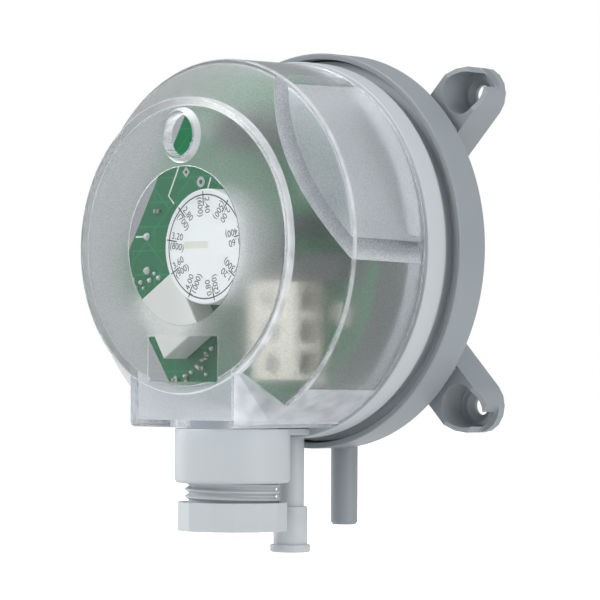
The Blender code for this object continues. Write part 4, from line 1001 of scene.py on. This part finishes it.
# %% White lines
screen_ink = moulded("white_screen_ink", "#e9ece8", 0.55, grain=0.3, depth=0.004)
INK_WIDTH = 0.35


def ink_line(name, points):
    """Printed line of constant width through points in mm on the board."""
    places = [Vector(point) for point in points]
    left_side, right_side = [], []
    for index, place in enumerate(places):
        before = places[max(index - 1, 0)]
        after = places[min(index + 1, len(places) - 1)]
        aside = (after - before).normalized().orthogonal() * INK_WIDTH / 2
        left_side.append(tuple(place + aside))
        right_side.append(tuple(place - aside))
    line = prism(name, left_side + right_side[::-1], FRONT * 38.99, FRONT * 0.04)
    return finished(line, screen_ink, "casing")


ink_line("ink_line_1", [(-19.6, 17.9), (-22.7, 11.7), (-21.0, 10.0)])
ink_line("ink_line_2", [(-9.8, 15.2), (-10.7, 13.0)])
ink_line("ink_line_3", [(-32.9, 3.1), (-30.2, 3.1)])

# %% [markdown]
# ## Terminal block
# The block is a cream moulding with a wire mouth, a clamp and a screw for each of its three poles.
# It is a bevelled box with the mouths and screw wells cut out.

# %% Terminal block
POLE_PITCH = 6.4
MOUTH_HALF = 2.4

block_low, block_high = box_mm("terminal_block")
block_across, _, block_up = axis_place("terminal_block")
POLE_UPS = [block_up + step * POLE_PITCH for step in (-1, 0, 1)]
terminals = moulded_block("terminal_block_body", block_low, block_high, 0.4)
for up in POLE_UPS:
    mouth = prism("mouth", rectangle(block_low.x + 2.5, block_high.x + 1.0, up - MOUTH_HALF, up + MOUTH_HALF),
                  FRONT * 40.4, FRONT * 5.7)
    combine(terminals, mouth, "DIFFERENCE")
    well = turned("well", [(0.0, 45.0), (1.45, 45.0), (1.45, 46.6), (2.1, 46.6), (2.1, 49.0), (0.0, 49.0)],
                  FRONT, (block_across, 0.0, up), 32)
    combine(terminals, well, "DIFFERENCE")
finished(soften(terminals, 0.1, 1), cream_pbt, "casing", "terminal_block")

# %% [markdown]
# ### Terminal screws and clamps
# A turn of the screw lifts the clamp, a small frame of plated steel, against the wire.
# The clamp is a block with a window for the wire and a hole for the screw.

# %% Terminal screws and clamps
for number, up in enumerate(POLE_UPS, 1):
    slotted_screw(f"terminal_screw_body_{number}", (block_across, up), 46.9, (1.8, 0.8), 1.15, 3.7, nickel,
                  f"screw_{number}", f"terminal_screw_{number}")
    low, high = box_mm(f"terminal_clamp_{number}")
    clamp = moulded_block(f"terminal_clamp_body_{number}", low, high, 0.15)
    window = moulded_block("window", (low.x - 1.0, high.y - 0.8, low.z + 0.8),
                           (high.x + 1.0, low.y + 1.2, high.z - 0.8), 0.1)
    combine(clamp, window, "DIFFERENCE")
    drill(clamp, 1.25, -low.y - 2.0, -low.y + 1.0, (block_across, 0.0, up))
    finished(clamp, nickel, f"clamp_{number}", f"terminal_clamp_{number}")

# %% [markdown]
# ## Pressure side
# Behind the floor a rubber diaphragm carries a stiff plate with a stem, a spring and a magnet.
# They are hidden, yet they are made with the same care, because the part can be taken apart.
# Diaphragm, plate and magnet are spun, and the roll of the rubber is part of its outline.

# %% Diaphragm, plate and magnet
diaphragm = turned("rubber_diaphragm", [
    (0.0, 12.7), (26.4, 12.7, 0.3), (26.8, 15.4, 2.4), (32.2, 15.4, 2.4), (32.6, 12.7, 0.3), (40.2, 12.7),
    (40.2, 13.5, 0.2), (33.4, 13.5, 0.3), (33.0, 16.6, 3.0), (26.0, 16.6, 3.0), (25.6, 13.5, 0.3),
    (0.0, 13.5)], steps=120)
finished(diaphragm, rubber, "casing", "diaphragm")
plate = turned("diaphragm_disc", [
    (0.0, 13.8), (23.0, 13.8, 0.3), (23.0, 15.3, 0.4), (3.2, 15.3, 0.4), (3.2, 30.3, 0.3), (0.0, 30.3)])
finished(plate, white_abs, "plate", "diaphragm_plate")
low, high = box_mm("sensor_magnet")
magnet = turned("sensor_magnet_disc", [
    (0.0, -high.y), (2.5, -high.y, 0.2), (2.5, -low.y, 0.2), (0.0, -low.y)], steps=48)
finished(magnet, magnet_nickel, "plate", "sensor_magnet")

# %% [markdown]
# ### Spring
# The spring is drawn steel wire, coiled round the stem.
# The wire's round section is drawn once and wound like the thread, with a longer rise.

# %% Spring
SPRING_TURNS = 5
SPRING_RADIUS = 5.4
WIRE_RADIUS = 0.35
WIRE_SIDES = 10

low, high = box_mm("diaphragm_spring")
spring_start = -high.y + WIRE_RADIUS
spring_rise = (-low.y - WIRE_RADIUS - spring_start) / SPRING_TURNS
section = []
for step in range(WIRE_SIDES + 1):
    angle = math.tau * step / WIRE_SIDES
    across = SPRING_RADIUS + WIRE_RADIUS * math.cos(angle)
    section.append(Vector((across, -spring_start - WIRE_RADIUS * math.sin(angle), 0.0)) * MM)
wire = draw("pressure_spring", section)
finished(wound(wire, "Y", -spring_rise, SPRING_TURNS, 48), spring_steel, "plate", "diaphragm_spring")
print("spring rises", round(spring_rise, 2), "mm a turn")

# %% [markdown]
# ## Setting dial
# The white knob turns the potentiometer, and its scale of plain numbers shows the set pressure.
# It is spun as one cross-section, with a deep rim outside and a sleeve that grips the shaft.

# %% Dial knob
DIAL_RADIUS = 12.1
DIAL_FRONT = 50.2
dial = turned("dial_knob_body", [
    (0.0, DIAL_FRONT), (DIAL_RADIUS, DIAL_FRONT, 0.35), (DIAL_RADIUS, 41.0, 0.1), (10.8, 41.0, 0.1),
    (10.8, 48.7), (3.6, 48.7), (3.6, 45.0, 0.2), (1.6, 45.0), (1.6, 48.2), (0.0, 48.2)], steps=128)
finished(dial, white_abs, "dial", "dial_knob")

# %% [markdown]
# ### Dial print
# Beside each line two numbers run inwards: one unit on one side, one on the other.
# The print is ink, so each number is text made into a thin mesh that stands on the face.
# Each mark is laid out on the +X side, where it is easy to place, and then turned to its angle.

# %% Dial print
black_ink = moulded("black_pad_print_ink", "#2a2a2b", 0.5, grain=0.3, depth=0.003)
beige_ink = moulded("beige_pad_print_ink", "#e0dfd2", 0.5, grain=0.3, depth=0.003)
TICKS = (-76, -36, 12, 55, 94, 134, 172, 209, 245)
SCALE = ("0.80", "1.20", "1.60", "2.00", "2.40", "2.80", "3.20", "3.60", "4.00")
SCALE_INNER = ("(200)", "(300)", "(400)", "(500)", "(600)", "(700)", "(800)", "(900)", "(1000)")
PRINT_FRONT = 50.19
PRINT_RAISE = 0.03
TEXT_HEIGHT = 2.0
TEXT_ASIDE = 1.05
NUMBER_RADIUS = 8.6
OTHER_RADIUS = 8.4
TICK_START = 8.6
TICK_END = 11.6
LINE_WIDTH = 0.26
CIRCLE_RADIUS = 11.0


def turned_to(angle, piece):
    """Turn a piece about the dial's axis, counter-clockwise as seen from the front."""
    piece.data.transform(Matrix.Rotation(angle, 4, FRONT))
    return piece


def dial_text(name, words, radius, aside, angle):
    """Number that runs inwards, its middle at `radius` and `aside` mm to the left of a radial line."""
    bpy.ops.object.select_all(action="DESELECT")
    bpy.ops.object.text_add(location=(0.0, 0.0, 0.0))
    text = bpy.context.object
    text.name = name
    text.data.body = words
    text.data.size = TEXT_HEIGHT * MM
    text.data.extrude = PRINT_RAISE * MM / 2
    text.data.align_x = "CENTER"
    text.data.align_y = "CENTER"
    bpy.ops.object.convert(target="MESH")
    place = Vector((radius, -PRINT_FRONT - PRINT_RAISE / 2, aside)) * MM
    facing = Matrix.Rotation(math.pi, 4, "Y") @ Matrix.Rotation(math.pi / 2, 4, "X")
    text.data.transform(Matrix.Translation(place) @ facing)
    return finished(turned_to(angle, text), black_ink, "dial")


for number, (turn, words, other) in enumerate(zip(TICKS, SCALE, SCALE_INNER), 1):
    angle = math.radians(turn)
    dial_text(f"number_{number}", words, NUMBER_RADIUS, -TEXT_ASIDE, angle)
    dial_text(f"number_other_{number}", other, OTHER_RADIUS, TEXT_ASIDE, angle)
    tick = prism(f"tick_{number}", rectangle(TICK_START, TICK_END, -LINE_WIDTH / 2, LINE_WIDTH / 2),
                 FRONT * PRINT_FRONT, FRONT * PRINT_RAISE)
    finished(turned_to(angle, tick), black_ink, "dial")
circle = turned("scale_circle", rectangle(
    CIRCLE_RADIUS - LINE_WIDTH, CIRCLE_RADIUS, PRINT_FRONT, PRINT_FRONT + PRINT_RAISE),
    steps=128, closed=True)
finished(circle, black_ink, "dial")
bar = prism("beige_bar", rectangle(-6.3, 0.7, -0.35, 1.15), FRONT * PRINT_FRONT, FRONT * PRINT_RAISE)
finished(bar, beige_ink, "dial")

# %% [markdown]
# ## Clear cover
# The cover is one thin moulding in clear polycarbonate: a round plateau on a cone, and a straight foot.
# A thin sheet given a thickness would lose its sharp step and corners, so two solid forms are made.
# The inner one is the outer one shrunk by the wall, and it is cut out of it.

# %% Cover shells
PLATEAU_RADIUS = 30.86
PLATEAU_STEP = 2.0
COVER_FRONT = 58.0
COVER_WALL = 1.6
COVER_REAR_RADIUS = 39.67
RIM_RADIUS = 39.4
RIM_FRONT = 47.2
FOOT_FRONT = 57.5
FOOT_DROP = 37.67
FOOT_TOP = 19.97
FOOT_WALL = 1.5


def cover_form(name, shrink, back):
    """Solid form of the cover, `shrink` mm inside its outer side: turned body and foot."""
    lean = math.atan2(RIM_RADIUS - PLATEAU_RADIUS, COVER_FRONT - PLATEAU_STEP - RIM_FRONT)
    slant = shrink * math.tan(lean / 2)
    edge, corner = (0.45, 1.2) if shrink < 1.0 else (0.25, 0.4)
    form = turned(name, [
        (0.0, back), (COVER_REAR_RADIUS - shrink, back, 0.25), (RIM_RADIUS - shrink, RIM_FRONT - slant, 1.2),
        (PLATEAU_RADIUS - shrink, COVER_FRONT - PLATEAU_STEP - slant, 0.25),
        (PLATEAU_RADIUS - shrink, COVER_FRONT - shrink, edge), (0.0, COVER_FRONT - shrink)], steps=192)
    wall = min(shrink, FOOT_WALL)
    half = FOOT_HALF - shrink
    bottom = wall - FOOT_DROP
    depth = FOOT_FRONT - shrink - back
    below = prism("below", rectangle(-half, half, -80.0, bottom), FRONT * (back - 1.0), FRONT * (depth + 1.0))
    combine(form, below, "DIFFERENCE")
    foot = prism("foot", [
        (-half, bottom, corner), (half, bottom, corner), (half, wall - FOOT_TOP), (-half, wall - FOOT_TOP)],
        FRONT * back, FRONT * depth)
    return combine(form, foot, "UNION")


cover = cover_form("clear_cover", 0.0, COVER_BACK)
inside = cover_form("inside", COVER_WALL, COVER_BACK - 1.0)
combine(cover, inside, "DIFFERENCE")

# %% [markdown]
# ### Cross wall, collar and windows
# A wall crosses the upper right corner, and a small collar stands round a hole in the plateau.
# The wall is a plate trimmed to the cover's own form, so it meets the shell all round.
# A round and a rectangular window are sunk into the inside, and a slot fits round the gland boss.

# %% Cross wall
WALL_DIRECTION = Vector((math.cos(WALL_TURN), 0.0, -math.sin(WALL_TURN)))

cross_wall = prism("cross_wall", rectangle(WALL_INNER, WALL_OUTER, -39.0, 39.0), FRONT * 26.6, FRONT * 30.6)
cross_wall.data.transform(Matrix.Rotation(WALL_TURN, 4, "Y"))
limit = cover_form("limit", COVER_WALL / 2, COVER_BACK)
combine(cross_wall, limit, "INTERSECT")
combine(cover, cross_wall, "UNION")

# %% Collar, foot slot and windows
COLLAR_CENTRE = (0.0, 0.0, 22.9)
COLLAR_FRONT = 59.2
WINDOW_RADIUS = 16.6
WINDOW_BACK = 55.0
WINDOW_FRONT = 56.7
SLOT_HALF = 10.4
SLOT_LOW = -28.2
SLOT_HIGH = -18.8

collar = turned("collar", [
    (0.0, 57.2), (5.8, 57.2), (5.8, COVER_FRONT), (5.0, COLLAR_FRONT, 0.25), (0.0, COLLAR_FRONT)],
    FRONT, COLLAR_CENTRE)
combine(cover, collar, "UNION")
drill(cover, 4.5, 55.0, 60.5, COLLAR_CENTRE, 96)
foot_slot = prism("foot_slot", [
    (-9.8, 25.3), (9.8, 25.3), (9.8, 52.28, 9.78), (-9.8, 52.28, 9.78)],
    DOWN * 36.2, DOWN * 3.0, SIDE, FRONT)
combine(cover, foot_slot, "DIFFERENCE")
window = turned("window", [
    (0.0, WINDOW_BACK), (WINDOW_RADIUS, WINDOW_BACK), (WINDOW_RADIUS, WINDOW_FRONT, 0.12),
    (0.0, WINDOW_FRONT)], steps=160)
combine(cover, window, "DIFFERENCE")
slot_window = prism("slot_window", rectangle(-SLOT_HALF, SLOT_HALF, SLOT_LOW, SLOT_HIGH, 0.4),
                    FRONT * WINDOW_BACK, FRONT * (WINDOW_FRONT - WINDOW_BACK))
combine(cover, slot_window, "DIFFERENCE")
print("cover", len(cover.data.polygons), "faces")

# %% [markdown]
# ## Polycarbonate
# Clear polycarbonate bends light like glass. The mould is polished outside and finely blasted inside.
# A blasted face scatters light both ways, so a share of white is mixed in where light meets the grain.
# The grain is real at about 0.1 mm and is drawn at 0.35 mm, since it would vanish otherwise.
# Polished: the two windows. Satin: steps and rims, with much white as a painted highlight where they catch
# the light. Blasted: the rest of the inside.
# The foot, the cross wall and the room beyond it get more white: painted light, for the light that crosses
# more faces there.

# %% Polycarbonate
CLEAR_TINT = "#f4f6f7"
BLAST_GRAIN = 0.35
CALM_GRAIN = 3.0


def polycarbonate(name, roughness, haze, depth, grain=BLAST_GRAIN, hollow_shade=0.7, shadow=CLEAR_TINT):
    """Clear polycarbonate with `haze` as its share of white, and painted shade in its grain's hollows,
    `hollow_shade` times as bright.

    Shadow rays pass straight through, dimmed to `shadow`, since a thin shell casts no hard shadow.
    """
    finish, tree = empty_tree(name)
    place = add_node(tree, "ShaderNodeTexCoord").outputs["Object"]
    speckle = add_node(tree, "ShaderNodeTexNoise", {
        "Vector": place, "Scale": 1.0 / (grain * MM), "Detail": 2.0})
    bump = add_node(tree, "ShaderNodeBump", {
        "Height": speckle.outputs["Fac"], "Strength": 1.0, "Distance": depth * MM})
    tint = linear(CLEAR_TINT)
    # Painted shade: the hollows of the grain get a darker tint than its tops.
    darker = tuple(c * hollow_shade for c in tint[:3]) + (1.0,)
    hollow_shade_mask = add_node(tree, "ShaderNodeMapRange", {
        "Value": speckle.outputs["Fac"], "From Min": 0.35, "From Max": 0.6})
    grain_shade = add_node(tree, "ShaderNodeMix", {
        "Factor": hollow_shade_mask.outputs["Result"], "A": darker, "B": tint}, data_type="RGBA")
    clear = add_node(tree, "ShaderNodeBsdfPrincipled", {
        "Base Color": grain_shade.outputs["Result"], "Roughness": roughness, "IOR": 1.58,
        "Transmission Weight": 1.0, "Normal": bump.outputs["Normal"]})
    scatter = add_node(tree, "ShaderNodeBsdfTranslucent", {"Color": linear("#e2e5e9")})
    matt = add_node(tree, "ShaderNodeBsdfDiffuse", {"Color": linear("#e6e8ed")})
    white = add_node(tree, "ShaderNodeMixShader", {0: 0.75, 1: scatter.outputs[0], 2: matt.outputs[0]})
    amount = add_node(tree, "ShaderNodeMapRange", {
        "Value": speckle.outputs["Fac"], "From Min": 0.3, "From Max": 0.7,
        "To Min": haze * 0.6, "To Max": haze * 1.4})
    skin = add_node(tree, "ShaderNodeMixShader", {
        0: amount.outputs["Result"], 1: clear.outputs[0], 2: white.outputs[0]})
    through = add_node(tree, "ShaderNodeBsdfTransparent", {"Color": linear(shadow)})
    path = add_node(tree, "ShaderNodeLightPath")
    whole = add_node(tree, "ShaderNodeMixShader", {
        0: path.outputs["Is Shadow Ray"], 1: skin.outputs[0], 2: through.outputs[0]})
    add_node(tree, "ShaderNodeOutputMaterial", {"Surface": whole.outputs[0]})
    return finish


cover_finishes = {
    "smooth": polycarbonate("smooth_moulded_polycarbonate", 0.03, 0.004, 0.001, CALM_GRAIN, 1.0),
    "blasted": polycarbonate("blasted_polycarbonate", 0.38, 0.008, 0.055, shadow="#9da1a3"),
    "polished": polycarbonate("polished_polycarbonate", 0.015, 0.004, 0.001, CALM_GRAIN, 1.0),
    # Painted light: the cross wall, the foot and the faces beyond the wall get a large share of white.
    "walled": polycarbonate("twice_blasted_polycarbonate_painted_lighter", 0.26, 0.26, 0.03, shadow="#6c7072"),
    "footed": polycarbonate("finely_blasted_polycarbonate_painted_lighter", 0.32, 0.5, 0.015, shadow="#c8ccce"),
    "ridged": polycarbonate("lightly_blasted_polycarbonate_painted_lighter", 0.34, 0.2, 0.03, shadow="#c8ccce"),
    # Painted highlight: steps and rims get a large share of white.
    "edged": polycarbonate("satin_polycarbonate_with_painted_highlight", 0.4, 0.42, 0.002, CALM_GRAIN)}

# %% [markdown]
# ### Which face gets which finish
# The cover is one closed mesh, so each face picks its material slot by its place and its direction.
# A face belongs to the inside when it looks towards the middle of the cover.

# %% Sorting the cover's faces
COVER_MIDDLE = FRONT * 40.0


def inner_finish(centre, normal, radius, beside_wall):
    """Finish of a face on the cover's inside."""
    on_foot_front = abs(centre.y + FOOT_FRONT - COVER_WALL) < 0.1 and normal.y > 0.9 and centre.z < -18.0
    in_foot = centre.z < -31.0 and abs(centre.x) < FOOT_HALF
    if beside_wall > WALL_OUTER + 0.1 and radius > 36.5:
        return "ridged"
    return "footed" if on_foot_front or in_foot else "blasted"


def outer_finish(centre, normal, radius):
    """Finish of a face on the cover's outside."""
    on_step = (abs(radius - PLATEAU_RADIUS) < 0.5 and centre.y < PLATEAU_STEP - COVER_FRONT + 0.2
               and abs(normal.y) < 0.97)
    on_rim = (RIM_RADIUS - 0.7 < radius < RIM_RADIUS + 0.2
              and RIM_FRONT - 1.0 < -centre.y < RIM_FRONT + 1.2)
    on_rear = -centre.y < COVER_BACK + 0.6
    on_collar = centre.y < -COVER_FRONT and abs(normal.y) < 0.9
    under_foot = centre.z < -35.0 and normal.z < -0.9
    beside_foot = centre.z < -30.0 and abs(centre.x) > FOOT_HALF - 0.1
    # Steps, rims, rear edge and foot edges get the satin finish with a painted highlight.
    satin_with_painted_highlight = on_step or on_rim or on_rear or on_collar or under_foot or beside_foot
    return "edged" if satin_with_painted_highlight else "smooth"


def cover_finish(polygon):
    """Name of the finish at a face of the cover."""
    centre = polygon.center / MM
    normal = polygon.normal
    radius = math.hypot(centre.x, centre.z)
    beside_wall = centre.dot(WALL_DIRECTION)
    in_wall = WALL_INNER - 0.1 < beside_wall < WALL_OUTER + 0.1 and centre.y > -56.5
    if in_wall and abs(normal.dot(WALL_DIRECTION)) > 0.99:
        return "walled"
    if centre.y < -WINDOW_FRONT + 0.1 and normal.y > 0.5:
        in_slot = abs(centre.x) < SLOT_HALF and SLOT_LOW < centre.z < SLOT_HIGH
        return "polished" if radius < WINDOW_RADIUS or in_slot else "blasted"
    if (centre - COVER_MIDDLE).dot(normal) <= 0.0:
        return inner_finish(centre, normal, radius, beside_wall)
    return outer_finish(centre, normal, radius)


cover.data.materials.clear()
for finish in cover_finishes.values():
    cover.data.materials.append(finish)
finish_names = list(cover_finishes)
for polygon in cover.data.polygons:
    polygon.material_index = finish_names.index(cover_finish(polygon))
finished(cover, None, "cover", "cover")
